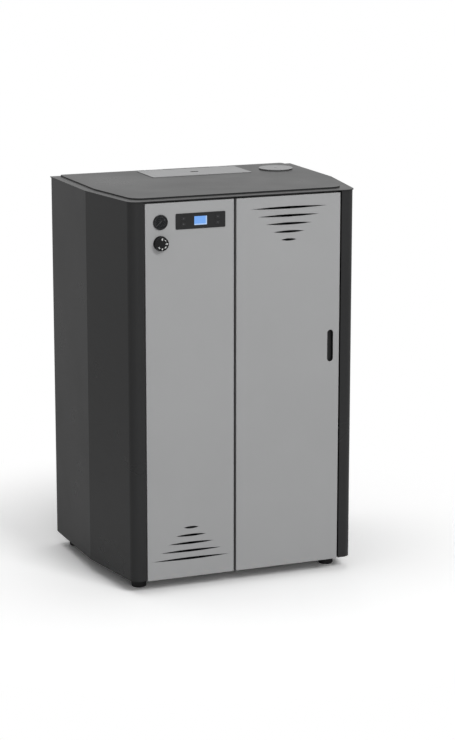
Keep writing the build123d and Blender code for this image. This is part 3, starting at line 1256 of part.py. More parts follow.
def circulator_pump():
    """Wet-rotor pump: two union nuts, round casing, motor and terminal box."""
    middle = (PUMP_Z[0] + PUMP_Z[1]) / 2
    pump = rod((PUMP_X, PIPE_Y, PUMP_Z[0]), 13, PUMP_Z[1] - PUMP_Z[0])
    for z in (PUMP_Z[0], PUMP_Z[1] - 18):
        pump += slab(Pos(PUMP_X, PIPE_Y) * RegularPolygon(26, 6), z, z + 18)
    pump += rod((PUMP_X, PIPE_Y + 24, middle), 42, 48, "-Y")
    pump += rod((PUMP_X, PIPE_Y - 24, middle), 46, 8, "-Y")
    pump += rod((PUMP_X, PIPE_Y - 32, middle), 38, 62, "-Y")
    box_x = (PUMP_X - 74, PUMP_X - 30)
    pump += block(box_x, (PIPE_Y - 92, PIPE_Y - 36), (middle - 30, middle + 30))
    return pump


def expansion_vessel():
    """Flat round vessel of two pressed shells on a plate between the posts."""
    y = FRAME_BACK + 14
    middle = y + VESSEL_THICK / 2
    half = VESSEL_THICK / 2
    profile = Polyline((0, -half), (VESSEL_RADIUS - 40, -half))
    curve = ThreePointArc((VESSEL_RADIUS - 40, -half), (VESSEL_RADIUS - 8, -half / 2 - 6), (VESSEL_RADIUS, -3))
    rim = Polyline((VESSEL_RADIUS, -3), (VESSEL_RADIUS + 5, -3), (VESSEL_RADIUS + 5, 3), (VESSEL_RADIUS, 3))
    upper = ThreePointArc((VESSEL_RADIUS, 3), (VESSEL_RADIUS - 8, half / 2 + 6), (VESSEL_RADIUS - 40, half))
    close = Polyline((VESSEL_RADIUS - 40, half), (0, half), (0, -half))
    face = make_face([*profile.edges(), curve, *rim.edges(), upper, *close.edges()])
    shell = revolve(face, Axis.Y)
    vessel = Pos(VESSEL_X, middle, VESSEL_Z) * shell
    strap_x = (-OPENING_WIDTH / 2 + 10, MIDDLE_POST_X)
    strap = block(strap_x, (FRAME_BACK + SEAT, FRAME_BACK + 3), (VESSEL_Z - 15, VESSEL_Z + 15))
    strap += rod((VESSEL_X, FRAME_BACK + 3, VESSEL_Z), 12, 12, "+Y")
    nipple = rod((VESSEL_X, middle + half, VESSEL_Z), 11, 20, "+Y")
    return vessel + strap + nipple


def control_box():
    """Mounting plate across the left posts with the electronics box behind it."""
    x = (-OPENING_WIDTH / 2 + 10, MIDDLE_POST_X)
    z = (TOP - CONTROL_DROP - CONTROL_HEIGHT, TOP - CONTROL_DROP)
    plate = block(x, (FRAME_BACK + SEAT, FRAME_BACK + SEAT + 2), z)
    box_y = (FRAME_BACK + SEAT + 2, FRAME_BACK + 60)
    box = block((x[0] + 30, x[1] - 57), box_y, (z[0] + 15, z[1] - 15))
    return plate + box


def power_inlet():
    """Mains socket for an appliance lead, beside the rocker switch's frame."""
    y0 = REAR_INSIDE - 26
    y1 = REAR_INSIDE + SHEET + 2.5
    x = (INLET_X - 23.5, INLET_X + 23.5)
    z = (INLET_Z - 13.5, INLET_Z + 13.5)
    body = block(x, (y0, REAR_INSIDE + SHEET + SEAT), z)
    body += block((x[0] - 4, x[1] + 4), (REAR_INSIDE + SHEET + SEAT, y1), (z[0] - 4, z[1] + 4))
    body -= block((INLET_X - 20, INLET_X + 4), (y1 - 16, y1), (INLET_Z - 9, INLET_Z + 9))
    for step in (-1, 0, 1):
        pin_x = INLET_X - 8 + step * 7
        pin_z = INLET_Z + (2 if step == 0 else -3)
        body += block((pin_x - 1, pin_x + 1), (y1 - 16, y1 - 3), (pin_z - 2, pin_z + 2))
    return body - block((INLET_X + 7, INLET_X + 21), (y1 - 9, y1), (INLET_Z - 11, INLET_Z + 11))


def power_switch():
    """Rocker that tips about its middle, its upper half pressed in at rest."""
    y1 = REAR_INSIDE + SHEET + 2.5
    outline = Polyline((-9.5, -1.5), (0, -2.5), (9.5, 1.5), (8.5, -5), (-8.5, -5), close=True)
    face = make_face(outline)
    upright = Plane(origin=(INLET_X + 7.2, y1, INLET_Z), x_dir=(0, 0, -1), z_dir=(1, 0, 0))
    return extrude(upright * face, 13.6, dir=(1, 0, 0))


def parts():
    """Every piece of the boiler by name."""
    right = side_panel()
    pieces = {
        "base_frame": base_frame(),
        "front_frame": front_frame(),
        "side_panel_right": right,
        "side_panel_left": mirror(right, Plane.YZ),
        "rear_panel": rear_panel(),
        "top_frame": top_frame(),
        "top_lid": top_lid(),
        "flue_cover": flue_cover(),
        "front_panel": front_panel(),
        "front_door": front_door(),
        "door_hinge_pins": door_hinge_pins(),
        "door_pull_cup": door_pull_cup(),
        "display_panel": display_panel(),
        "display_screen": display_screen(),
        "gauge_case": gauge_case(),
        "gauge_needle": gauge_needle(),
        "gauge_glass": gauge_glass(),
        "thermostat_body": thermostat_body(),
        "thermostat_knob": thermostat_knob(),
        "boiler_body": boiler_body(),
        "ash_box": ash_box(),
        "smoke_box": smoke_box(),
        "exchanger_cover": exchanger_cover(),
        "firebox_lining": firebox_lining(),
        "burn_pot": burn_pot(),
        "ash_drawer": ash_drawer(),
        "firebox_door": firebox_door(),
        "firebox_door_seal": firebox_door_seal(),
        "firebox_door_handle": firebox_door_handle(),
        "turbulators": turbulators(),
        "cleaning_lever": cleaning_lever(),
        "hopper": hopper(),
        "hopper_hatch": hopper_hatch(),
        "hatch_hinge": hatch_hinge(),
        "hatch_seal": hatch_seal(),
        "auger_tube": auger_tube(),
        "auger_screw": auger_screw(),
        "auger_gearmotor": auger_gearmotor(),
        "pellet_chute": pellet_chute(),
        "fan_housing": fan_housing(),
        "fan_impeller": fan_impeller(),
        "fan_motor": fan_motor(),
        "flue_spigot": flue_spigot(),
        "air_intake": air_intake(),
        "flow_pipe": flow_pipe(),
        "return_pipe": return_pipe(),
        "pump_pipe": pump_pipe(),
        "circulator_pump": circulator_pump(),
        "expansion_vessel": expansion_vessel(),
        "control_box": control_box(),
        "power_inlet": power_inlet(),
        "power_switch": power_switch(),
    }
    for name, place in foot_places().items():
        pieces[name] = levelling_foot(*place)
    for name, place in key_places().items():
        pieces[name] = key(*place)
    return pieces


def main():
    os.makedirs("parts", exist_ok=True)
    for name, shape in parts().items():
        if isinstance(shape, list):
            shape = Compound(children=shape)
        export_step(shape, f"parts/{name}.step")


main()
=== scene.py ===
"""Finish and small detail for a floor-standing pellet boiler, in metres."""

import json
import math

import bmesh
import bpy
from mathutils import Euler, Matrix, Vector


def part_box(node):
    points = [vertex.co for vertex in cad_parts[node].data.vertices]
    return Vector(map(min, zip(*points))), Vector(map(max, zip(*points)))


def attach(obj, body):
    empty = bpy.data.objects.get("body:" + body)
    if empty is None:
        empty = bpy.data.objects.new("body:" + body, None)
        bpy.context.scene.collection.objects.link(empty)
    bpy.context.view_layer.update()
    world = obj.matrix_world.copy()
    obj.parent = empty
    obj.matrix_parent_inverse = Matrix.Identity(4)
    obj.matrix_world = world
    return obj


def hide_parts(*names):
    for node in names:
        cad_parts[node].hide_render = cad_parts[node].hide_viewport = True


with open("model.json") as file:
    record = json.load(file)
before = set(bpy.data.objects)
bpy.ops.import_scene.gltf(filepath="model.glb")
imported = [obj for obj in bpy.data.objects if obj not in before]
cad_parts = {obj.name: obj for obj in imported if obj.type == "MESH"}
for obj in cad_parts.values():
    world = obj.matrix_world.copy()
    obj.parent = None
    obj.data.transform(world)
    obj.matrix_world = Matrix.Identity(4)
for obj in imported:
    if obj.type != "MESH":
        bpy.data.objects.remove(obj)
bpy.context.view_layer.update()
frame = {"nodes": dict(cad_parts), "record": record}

# Gauge and knob, one above the other, their scales in degrees
PANEL_FACE_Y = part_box("front_panel")[0][1]
DIAL_X = -0.287
GAUGE_Z = 1.214
KNOB_Z = 1.147
KNOB_NUMBERS = 6
KNOB_START = 90
KNOB_STEP = 45
KNOB_RING = 0.015
KNOB_NUMBER_HEIGHT = 0.0088
KNOB_NUMBER_WEIGHT = 0.00028
GAUGE_PROUD = 0.004
DIAL_SINK = 0.0034
DIAL_RADIUS = 0.0198
DIAL_SIDES = 64
DIAL_LIFT = 0.0003
GAUGE_START = 225
GAUGE_SWEEP = 270
TICK_COUNT = 40
TICK_RING = 0.0178
LONG_TICK_EVERY = 10
LONG_TICK = (0.0032, 0.0009)
SHORT_TICK = (0.0018, 0.00042)
GAUGE_NUMBERS = 5
GAUGE_RING = 0.0118
GAUGE_NUMBER_HEIGHT = 0.0036
PRINT_LIFT = 0.0001
MARK_THICK = 0.00015
NUMBER_THICK = 0.00008

# Signs on the keys, each bar as its width and height
KEYS = ("key_upper_left", "key_lower_left", "key_upper_right", "key_lower_right")
ARROW_REACH = 0.0024
ARROW_FOOT = 0.0014
ARROW_TIP = 0.0018
FLAT_BAR = (0.005, 0.0009)
SHORT_BAR = (0.0009, 0.0022)
SHORT_BAR_RISE = 0.0016
RING_DASHES = 10
RING_RADIUS = 0.0022
RING_START = 125
RING_SWEEP = 290
RING_DASH = (0.0008, 0.0016)
RING_BAR = (0.0007, 0.0024)
RING_BAR_RISE = 0.0018

# Liner in the hatch's finger slot, a black cup whose black also paints the shade inside the slot
FINGER_SLOT = (0.032, 0.014)
LINER_GAP = 0.0003
LINER_WALL = 0.0011
LINER_DROP = 0.0022
LINER_FLOOR = 0.0026
LINER_UNDERSIDE = 0.0018

# Screws at the rear
SIDE_SCREW_X = (-0.418, 0.418)
SIDE_SCREW_Z = [0.10 + n * 0.224 for n in range(6)]
EDGE_SCREW_X = (-0.2, 0.0, 0.2)
EDGE_SCREW_Z = (0.062, 1.262)
SCREW_RADIUS = 0.0042
SCREW_HEIGHT = 0.0021

# Welds on the boiler, with each ring of a stay weld as its radius and rise
BEAD_RADIUS = 0.003
BEAD_RIPPLE = 0.0056
BEAD_STEP = 0.0014
BEAD_SINK = 0.0012
BEAD_SIDES = 10
BEAD_OVER_DOOR = 0.012
BEAD_UNDER_TOP = 0.002
STAY_WELD = (
    (0.0085, 0.0),
    (0.0082, 0.0012),
    (0.0068, 0.002),
    (0.0052, 0.0014),
    (0.0024, 0.0011),
)
STAY_SINK = 0.0002
STAY_COLUMNS = 3
STAY_ROWS = 4
STAYS_OVER_DOOR = 0.055
STAYS_UNDER_TOP = 0.05

# Rope seal
ROPE_CLEAR = 0.0002
ROPE_CORNER = 0.012
ROPE_CORNER_STEPS = 6
ROPE_STEP = 0.0022
ROPE_SIDES = 14
PLAIT_PITCH = 0.0023

# Dust on faces that look up
DUST_COLOUR = (0.3, 0.3, 0.3, 1.0)

# Floor, surround and camera
FLOOR_SIZE = 14
FLOOR_DROP = 0.0005
FLOOR_SHOWN = 1.26
FLOOR_BOUNCE = 0.5
FLOOR_MIRRORED = 0.35
FLOOR_FADE = (0.62, 1.45)
MIRROR_RISE = (0.8, 4.6)
AMBIENT = 0.27
GLOSS_FRONT = 0.52
GLOSS_BEHIND = 0.58
BEHIND = (0.3, 0.9)
CAMERA_PLACE = (-2.7649, -7.0168, 2.3639)
CAMERA_TURN = (77.171, 0.0, -22.012)
CAMERA_LENS = 111.98

# Each lamp's name, place, target, size, power and whether gloss shows it
LAMPS = (
    ("overhead_soft", (-0.4, 1.0, 4.2), (0.0, 0.2, 0.6), (4.0, 4.0), 62.0, True),
    ("key_soft", (1.8, -6.5, 5.6), (0.0, 0.0, 0.6), (2.4, 2.4), 298.0, False),
    ("front_soft", (-0.6, -6.0, 1.9), (0.0, 0.0, 0.6), (4.0, 3.0), 104.0, False),
    ("rear_soft", (1.4, 5.6, 0.6), (0.0, 0.3, 0.62), (3.0, 0.9), 60.0, False),
)


# Shared effects

def effect_group(name, inputs, outputs):
    """An empty node group with its sockets, and its two end nodes."""
    tree = bpy.data.node_groups.new(name, "ShaderNodeTree")
    for label, kind, value in inputs:
        socket = tree.interface.new_socket(name=label, in_out="INPUT", socket_type=kind)
        if value is not None:
            socket.default_value = value
    for label, kind in outputs:
        tree.interface.new_socket(name=label, in_out="OUTPUT", socket_type=kind)
    start = tree.nodes.new("NodeGroupInput")
    end = tree.nodes.new("NodeGroupOutput")
    return tree, start, end


def add_node(tree, kind, **values):
    """A node with its properties and input values set by name."""
    node = tree.nodes.new(kind)
    for key, value in values.items():
        label = key.replace("_", " ")
        if label in node.inputs:
            node.inputs[label].default_value = value
        elif label.title() in node.inputs:
            node.inputs[label.title()].default_value = value
        else:
            setattr(node, key, value)
    return node


def ramp(tree, source, start, stop, low=0.0, high=1.0, curve="LINEAR"):
    """A socket's value carried from one range to another, as an output socket."""
    node = add_node(tree, "ShaderNodeMapRange", interpolation_type=curve)
    ends = {"From Min": start, "From Max": stop, "To Min": low, "To Max": high}
    for label, value in ends.items():
        node.inputs[label].default_value = value
    tree.links.new(source, node.inputs["Value"])
    return node.outputs["Result"]


def product(tree, first, second):
    """The product of two sockets, as an output socket."""
    node = add_node(tree, "ShaderNodeMath", operation="MULTIPLY")
    tree.links.new(first, node.inputs[0])
    tree.links.new(second, node.inputs[1])
    return node.outputs["Value"]


def powder_coat_group():
    """Fine orange peel and a slow drift in tone, as on powder-coated sheet."""
    tree, start, end = effect_group(
        "powder_coat",
        [("Grain", "NodeSocketFloat", 900.0), ("Drift", "NodeSocketFloat", 3.0)],
        [("Tone", "NodeSocketFloat"), ("Height", "NodeSocketFloat")],
    )
    place = add_node(tree, "ShaderNodeTexCoord")
    peel = add_node(tree, "ShaderNodeTexNoise", Detail=2.0, Roughness=0.6)
    slow = add_node(tree, "ShaderNodeTexNoise", Detail=3.0, Roughness=0.55)
    fine = add_node(tree, "ShaderNodeTexNoise", Scale=2600.0, Detail=1.0)
    sum_height = add_node(tree, "ShaderNodeMath", operation="MULTIPLY_ADD")
    sum_height.inputs[1].default_value = 0.35
    for texture in (peel, slow, fine):
        tree.links.new(place.outputs["Object"], texture.inputs["Vector"])
    tree.links.new(start.outputs["Grain"], peel.inputs["Scale"])
    tree.links.new(start.outputs["Drift"], slow.inputs["Scale"])
    tree.links.new(fine.outputs["Fac"], sum_height.inputs[0])
    tree.links.new(peel.outputs["Fac"], sum_height.inputs[2])
    tree.links.new(ramp(tree, slow.outputs["Fac"], 0.35, 0.65), end.inputs["Tone"])
    tree.links.new(sum_height.outputs["Value"], end.inputs["Height"])
    return tree


def settled_dust_group():
    """Thin patchy dust that lies only on faces that look up."""
    tree, start, end = effect_group(
        "settled_dust",
        [("Amount", "NodeSocketFloat", 0.3), ("Patch", "NodeSocketFloat", 14.0)],
        [("Mask", "NodeSocketFloat")],
    )
    place = add_node(tree, "ShaderNodeTexCoord")
    surface = add_node(tree, "ShaderNodeNewGeometry")
    split = add_node(tree, "ShaderNodeSeparateXYZ")
    patch = add_node(tree, "ShaderNodeTexNoise", Detail=6.0, Roughness=0.7)
    tree.links.new(place.outputs["Object"], patch.inputs["Vector"])
    tree.links.new(start.outputs["Patch"], patch.inputs["Scale"])
    tree.links.new(surface.outputs["Normal"], split.inputs["Vector"])
    upward = ramp(tree, split.outputs["Z"], 0.6, 1.0)
    dust = product(tree, upward, patch.outputs["Fac"])
    tree.links.new(product(tree, dust, start.outputs["Amount"]), end.inputs["Mask"])
    return tree


def drawn_lines_group():
    """Fine parallel lines along one axis, as on drawn or brushed metal."""
    tree, start, end = effect_group(
        "drawn_lines",
        [("Stretch", "NodeSocketVector", (900.0, 900.0, 12.0))],
        [("Tone", "NodeSocketFloat"), ("Height", "NodeSocketFloat")],
    )
    place = add_node(tree, "ShaderNodeTexCoord")
    scale = add_node(tree, "ShaderNodeVectorMath", operation="MULTIPLY")
    lines = add_node(tree, "ShaderNodeTexNoise", Scale=1.0, Detail=3.0, Roughness=0.65)
    tree.links.new(place.outputs["Object"], scale.inputs[0])
    tree.links.new(start.outputs["Stretch"], scale.inputs[1])
    tree.links.new(scale.outputs["Vector"], lines.inputs["Vector"])
    tree.links.new(lines.outputs["Fac"], end.inputs["Tone"])
    tree.links.new(lines.outputs["Fac"], end.inputs["Height"])
    return tree


def zinc_spangle_group():
    """Crystal patches of hot-dip zinc, each with its own tone."""
    tree, start, end = effect_group(
        "zinc_spangle",
        [("Scale", "NodeSocketFloat", 90.0)],
        [("Tone", "NodeSocketFloat"), ("Height", "NodeSocketFloat")],
    )
    place = add_node(tree, "ShaderNodeTexCoord")
    bend = add_node(tree, "ShaderNodeTexNoise", Scale=60.0, Detail=2.0)
    mix = add_node(tree, "ShaderNodeVectorMath", operation="MULTIPLY_ADD")
    mix.inputs[1].default_value = (0.012, 0.012, 0.012)
    cells = add_node(tree, "ShaderNodeTexVoronoi")
    split = add_node(tree, "ShaderNodeSeparateColor")
    tree.links.new(bend.outputs["Color"], mix.inputs[0])
    tree.links.new(place.outputs["Object"], mix.inputs[2])
    tree.links.new(mix.outputs["Vector"], cells.inputs["Vector"])
    tree.links.new(start.outputs["Scale"], cells.inputs["Scale"])
    tree.links.new(cells.outputs["Color"], split.inputs["Color"])
    tree.links.new(split.outputs["Red"], end.inputs["Tone"])
    tree.links.new(split.outputs["Green"], end.inputs["Height"])
    return tree


def cast_grain_group():
    """Sandy grain with larger soft lumps, as on castings and fired board."""
    tree, start, end = effect_group(
        "cast_grain",
        [("Scale", "NodeSocketFloat", 420.0)],
        [("Tone", "NodeSocketFloat"), ("Height", "NodeSocketFloat")],
    )
    place = add_node(tree, "ShaderNodeTexCoord")
    grain = add_node(tree, "ShaderNodeTexNoise", Detail=4.0, Roughness=0.7)
    lumps = add_node(tree, "ShaderNodeTexNoise", Scale=24.0, Detail=4.0, Roughness=0.6)
    tree.links.new(place.outputs["Object"], grain.inputs["Vector"])
    tree.links.new(place.outputs["Object"], lumps.inputs["Vector"])
    tree.links.new(start.outputs["Scale"], grain.inputs["Scale"])
    tree.links.new(lumps.outputs["Fac"], end.inputs["Tone"])
    tree.links.new(grain.outputs["Fac"], end.inputs["Height"])
    return tree


def colour_mix(tree, factor):
    """A mix of two colours by a factor socket: its two colour inputs and its output."""
    mix = add_node(tree, "ShaderNodeMix", data_type="RGBA")
    tree.links.new(factor, mix.inputs[0])
    first, second = [s for s in mix.inputs if s.type == "RGBA"][:2]
    result = [s for s in mix.outputs if s.type == "RGBA"][0]
    return first, second, result


def two_tone(tree, factor, dark, light):
    """A colour mixed between two by a factor socket, as an output socket."""
    first, second, result = colour_mix(tree, factor)
    first.default_value = (*dark, 1.0)
    second.default_value = (*light, 1.0)
    return result


def grouped(tree, group, **values):
    """An effect group placed in a material with its own values."""
    node = tree.nodes.new("ShaderNodeGroup")
    node.node_tree = group
    for label, value in values.items():
        node.inputs[label].default_value = value
    return node


def bump(tree, shader, height, distance, strength):
    """A bump from a height socket into the shader's normal."""
    node = add_node(tree, "ShaderNodeBump", Strength=strength, Distance=distance)
    tree.links.new(height, node.inputs["Height"])
    tree.links.new(node.outputs["Normal"], shader.inputs["Normal"])


def vary_roughness(tree, shader, factor, smoothest, roughest):
    """Roughness that runs between two values by a factor socket."""
    rough = ramp(tree, factor, 0.0, 1.0, smoothest, roughest)
    tree.links.new(rough, shader.inputs["Roughness"])


def finish_material(name, **sockets):
    """A material with its shader's plain values set, and its tree."""
    material = bpy.data.materials.new(name)
    material.use_nodes = True
    tree = material.node_tree
    shader = tree.nodes["Principled BSDF"]
    for label, value in sockets.items():
        shader.inputs[label.replace("_", " ")].default_value = value
    return material, tree, shader


def powder_paint(name, colour, roughness, drift=0.04, dust=0.12, ior=1.5):
    """Powder-coated sheet: orange peel, slow drift in tone and a little dust on top."""
    material, tree, shader = finish_material(name, Roughness=roughness, IOR=ior)
    coat = grouped(tree, EFFECTS["powder_coat"])
    dust_mask = grouped(tree, EFFECTS["settled_dust"], Amount=dust)
    dark = [c * (1 - drift) for c in colour]
    light = [c * (1 + drift) for c in colour]
    tone = two_tone(tree, coat.outputs["Tone"], dark, light)
    paint, settled, result = colour_mix(tree, dust_mask.outputs["Mask"])
    tree.links.new(tone, paint)
    settled.default_value = DUST_COLOUR
    tree.links.new(result, shader.inputs["Base Color"])
    vary_roughness(tree, shader, coat.outputs["Tone"], roughness - 0.03, roughness + 0.04)
    bump(tree, shader, coat.outputs["Height"], distance=0.00006, strength=0.5)
    return material


def bare_metal(name, colour, roughness, group, **values):
    """Bare metal with drawn lines, or with zinc spangle."""
    material, tree, shader = finish_material(name, Metallic=1.0, Roughness=roughness)
    effect = grouped(tree, EFFECTS[group], **values)
    dark = [c * 0.78 for c in colour]
    tone = two_tone(tree, effect.outputs["Tone"], dark, colour)
    tree.links.new(tone, shader.inputs["Base Color"])
    vary_roughness(tree, shader, effect.outputs["Tone"], roughness - 0.08, roughness + 0.1)
    bump(tree, shader, effect.outputs["Height"], distance=0.00004, strength=0.4)
    return material


def cast_surface(name, dark, light, roughness, metallic, grain, depth):
    """Grainy casting: iron, fired board or fibre."""
    material, tree, shader = finish_material(name, Metallic=metallic, Roughness=roughness)
    effect = grouped(tree, EFFECTS["cast_grain"], Scale=grain)
    tone = two_tone(tree, effect.outputs["Tone"], dark, light)
    tree.links.new(tone, shader.inputs["Base Color"])
    vary_roughness(tree, shader, effect.outputs["Height"], roughness - 0.08, roughness + 0.08)
    bump(tree, shader, effect.outputs["Height"], depth, strength=0.7)
    return material


def moulded_plastic(name, colour, roughness, grain=1800.0, depth=0.00003, gloss=0.5):
    """Moulded plastic with a fine spark-eroded grain."""
    values = {"Roughness": roughness, "IOR": 1.48, "Specular_IOR_Level": gloss}
    material, tree, shader = finish_material(name, **values)
    effect = grouped(tree, EFFECTS["cast_grain"], Scale=grain)
    dark = [c * 0.85 for c in colour]
    light = [c * 1.12 for c in colour]
    tone = two_tone(tree, effect.outputs["Tone"], dark, light)
    tree.links.new(tone, shader.inputs["Base Color"])
    vary_roughness(tree, shader, effect.outputs["Height"], roughness - 0.05, roughness + 0.07)
    bump(tree, shader, effect.outputs["Height"], depth, strength=0.5)
    return material


def clear_glass(name):
    """Thin clear lens."""
    material, _, shader = finish_material(name, Roughness=0.05, IOR=1.45, Alpha=0.1)
    shader.inputs["Base Color"].default_value = (0.05, 0.055, 0.06, 1.0)
    return material


def lit_screen(name):
    """Backlit display: blue, with a paler band along its right and lower edge."""
    material, tree, shader = finish_material(name, Roughness=0.25, IOR=1.45)
    low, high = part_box("display_screen")
    place = add_node(tree, "ShaderNodeTexCoord")
    split = add_node(tree, "ShaderNodeSeparateXYZ")
    tree.links.new(place.outputs["Object"], split.inputs["Vector"])
    right = ramp(tree, split.outputs["X"], high[0] - 0.0046, high[0] - 0.0030)
    lower = ramp(tree, split.outputs["Z"], low[2] + 0.0042, low[2] + 0.0028)
    edge = add_node(tree, "ShaderNodeMath", operation="MAXIMUM")
    tree.links.new(right, edge.inputs[0])
    tree.links.new(lower, edge.inputs[1])
    tone = two_tone(tree, edge.outputs["Value"], (0.19, 0.43, 0.96), (0.5, 0.68, 0.96))
    shader.inputs["Base Color"].default_value = (0.02, 0.03, 0.05, 1.0)
    tree.links.new(tone, shader.inputs["Emission Color"])
    shader.inputs["Emission Strength"].default_value = 0.85
    return material


EFFECTS = {
    "powder_coat": powder_coat_group(),
    "settled_dust": settled_dust_group(),
    "drawn_lines": drawn_lines_group(),
    "zinc_spangle": zinc_spangle_group(),
    "cast_grain": cast_grain_group(),
}

FINISHES = {
    "dark_paint": powder_paint("dark_paint", (0.018, 0.0182, 0.0187), 0.3, dust=0.05),
    "panel_paint": powder_paint("panel_paint", (0.344, 0.346, 0.349), 0.45, drift=0.012, dust=0.03),
    # Black paint on the frames seen through the panel gaps, made near-black and dull so these
    # frames also paint the shade in the gaps
    "black_paint": powder_paint("black_paint", (0.006, 0.006, 0.0065), 0.6, dust=0.02, ior=1.25),
    "boiler_paint": powder_paint("boiler_paint", (0.05, 0.052, 0.055), 0.55, dust=0.35),
    "cast_iron": cast_surface(
        "cast_iron", (0.03, 0.03, 0.031), (0.07, 0.068, 0.066), 0.62, 0.6, 520.0, 0.0004
    ),
    "lining": cast_surface("lining", (0.42, 0.33, 0.22), (0.6, 0.5, 0.36), 0.9, 0.0, 260.0, 0.0007),
    "rope": cast_surface("rope", (0.42, 0.4, 0.36), (0.6, 0.58, 0.53), 0.95, 0.0, 1500.0, 0.0003),
    "steel": bare_metal(
        "steel", (0.55, 0.56, 0.57), 0.36, "drawn_lines", Stretch=(600.0, 600.0, 20.0)
    ),
    "galvanised": bare_metal("galvanised", (0.5, 0.52, 0.54), 0.42, "zinc_spangle", Scale=70.0),
    "fan_metal": bare_metal(
        "fan_metal", (0.6, 0.61, 0.62), 0.4, "drawn_lines", Stretch=(40.0, 500.0, 500.0)
    ),
    "copper": bare_metal(
        "copper", (0.78, 0.38, 0.24), 0.3, "drawn_lines", Stretch=(500.0, 500.0, 30.0)
    ),
    "pump_paint": powder_paint("pump_paint", (0.03, 0.09, 0.05), 0.4),
    "vessel_paint": powder_paint("vessel_paint", (0.42, 0.02, 0.015), 0.3),
    "black_plastic": moulded_plastic("black_plastic", (0.022, 0.022, 0.0225), 0.5, gloss=0.3),
    "knob_plastic": moulded_plastic("knob_plastic", (0.012, 0.012, 0.0122), 0.4, gloss=0.22),
    "key_plastic": moulded_plastic("key_plastic", (0.029, 0.029, 0.03), 0.5, gloss=0.3),
    "switch_plastic": moulded_plastic("switch_plastic", (0.02, 0.02, 0.02), 0.2),
    "needle_paint": moulded_plastic("needle_paint", (0.07, 0.07, 0.07), 0.5, gloss=0.3),
    "gauge_glass": clear_glass("gauge_glass"),
    "screen": lit_screen("screen"),
    "rubber": moulded_plastic("rubber", (0.014, 0.014, 0.015), 0.7, grain=900.0, depth=0.0001),
    "print_white": moulded_plastic("print_white", (0.84, 0.84, 0.84), 0.6),
    "print_grey": moulded_plastic("print_grey", (0.13, 0.13, 0.133), 0.6, gloss=0.2),
    "dial_black": moulded_plastic("dial_black", (0.011, 0.011, 0.0115), 0.5, gloss=0.2),
}


def finish_cad_nodes():
    """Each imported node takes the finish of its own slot."""
    for entry in frame["record"]["subparts"]:
        piece = frame["nodes"][entry["node"]]
        for place in piece.material_slots:
            place.material = FINISHES[entry["material_slot"]]


# Shapes shared by the small pieces

def placed(name, data):
    """A new object in the scene that shows the given data."""
    item = bpy.data.objects.new(name, data)
    bpy.context.scene.collection.objects.link(item)
    return item


def mesh_piece(name, shape, finish, body, smooth=True):
    """A mesh object from a bmesh, with its finish, riding on a body."""
    mesh = bpy.data.meshes.new(name)
    shape.to_mesh(mesh)
    shape.free()
    piece = placed(name, mesh)
    mesh.materials.append(FINISHES[finish])
    for face in mesh.polygons:
        face.use_smooth = smooth
    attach(piece, body)
    return piece


def round_point(x, z, radius, angle):
    """A point on a circle that faces the front."""
    return x + radius * math.cos(angle), z + radius * math.sin(angle)


def join_rings(shape, lower, upper):
    """Adds the band of faces between two rings of the same count."""
    count = len(lower)
    for n in range(count):
        m = (n + 1) % count
        shape.faces.new((lower[n], lower[m], upper[m], upper[n]))


def turned_rings(shape, x, y, z, outward, rings, count=20):
    """Adds the rings of a small turned shape along Y, and gives the last ring."""
    loops = []
    for radius, rise in rings:
        loop = []
        for n in range(count):
            u, w = round_point(x, z, radius, 2 * math.pi * n / count)
            loop.append(shape.verts.new((u, y + outward * rise, w)))
        loops.append(loop)
    for lower, upper in zip(loops, loops[1:]):
        join_rings(shape, lower, upper)
    return loops[-1]


def flat_mark(shape, points, y):
    """Adds one thin printed mark, its outline given in X and Z."""
    front = [shape.verts.new((x, y - MARK_THICK, z)) for x, z in points]
    back = [shape.verts.new((x, y, z)) for x, z in points]
    shape.faces.new(front)
    shape.faces.new(list(reversed(back)))
    count = len(points)
    for n in range(count):
        m = (n + 1) % count
        shape.faces.new((front[n], back[n], back[m], front[m]))


def bar_points(x, z, width, height, angle=0.0):
    """Corners of a bar centred on a point and turned by an angle."""
    c, s = math.cos(angle), math.sin(angle)
    w, h = width / 2, height / 2
    corners = [(-w, -h), (w, -h), (w, h), (-w, h)]
    return [(x + u * c - v * s, z + u * s + v * c) for u, v in corners]


def close_points(path, step, closed):
    """The points of a path, with more between them so that they lie about a step apart."""
    points = []
    ends = path[1:] + path[:1] if closed else path[1:]
    for a, b in zip(path, ends):
        count = max(1, round((b - a).length / step))
        points += [a.lerp(b, n / count) for n in range(count)]
    return points if closed else points + [path[-1]]


def sweep(shape, path, radius_at, around, closed):
    """Adds a round bead along a path that lies in an upright plane across Y."""
    flat = Vector((0, 1, 0))
    last = len(path) - 1
    loops = []
    travelled = 0.0
    for n, point in enumerate(path):
        before = path[n - 1] if closed or n > 0 else point
        after = path[(n + 1) % len(path)] if closed or n < last else point
        side = (after - before).normalized().cross(flat).normalized()
        loop = []
        for k in range(around):
            angle = 2 * math.pi * k / around
            r = radius_at(travelled, angle)
            across = side * r * math.cos(angle)
            loop.append(shape.verts.new(point + across + flat * r * math.sin(angle)))
        loops.append(loop)
        travelled += (path[(n + 1) % len(path)] - point).length
    for lower, upper in zip(loops, loops[1:]):
        join_rings(shape, lower, upper)
    if closed:
        join_rings(shape, loops[-1], loops[0])
    else:
        shape.faces.new(list(reversed(loops[0])))
        shape.faces.new(loops[-1])


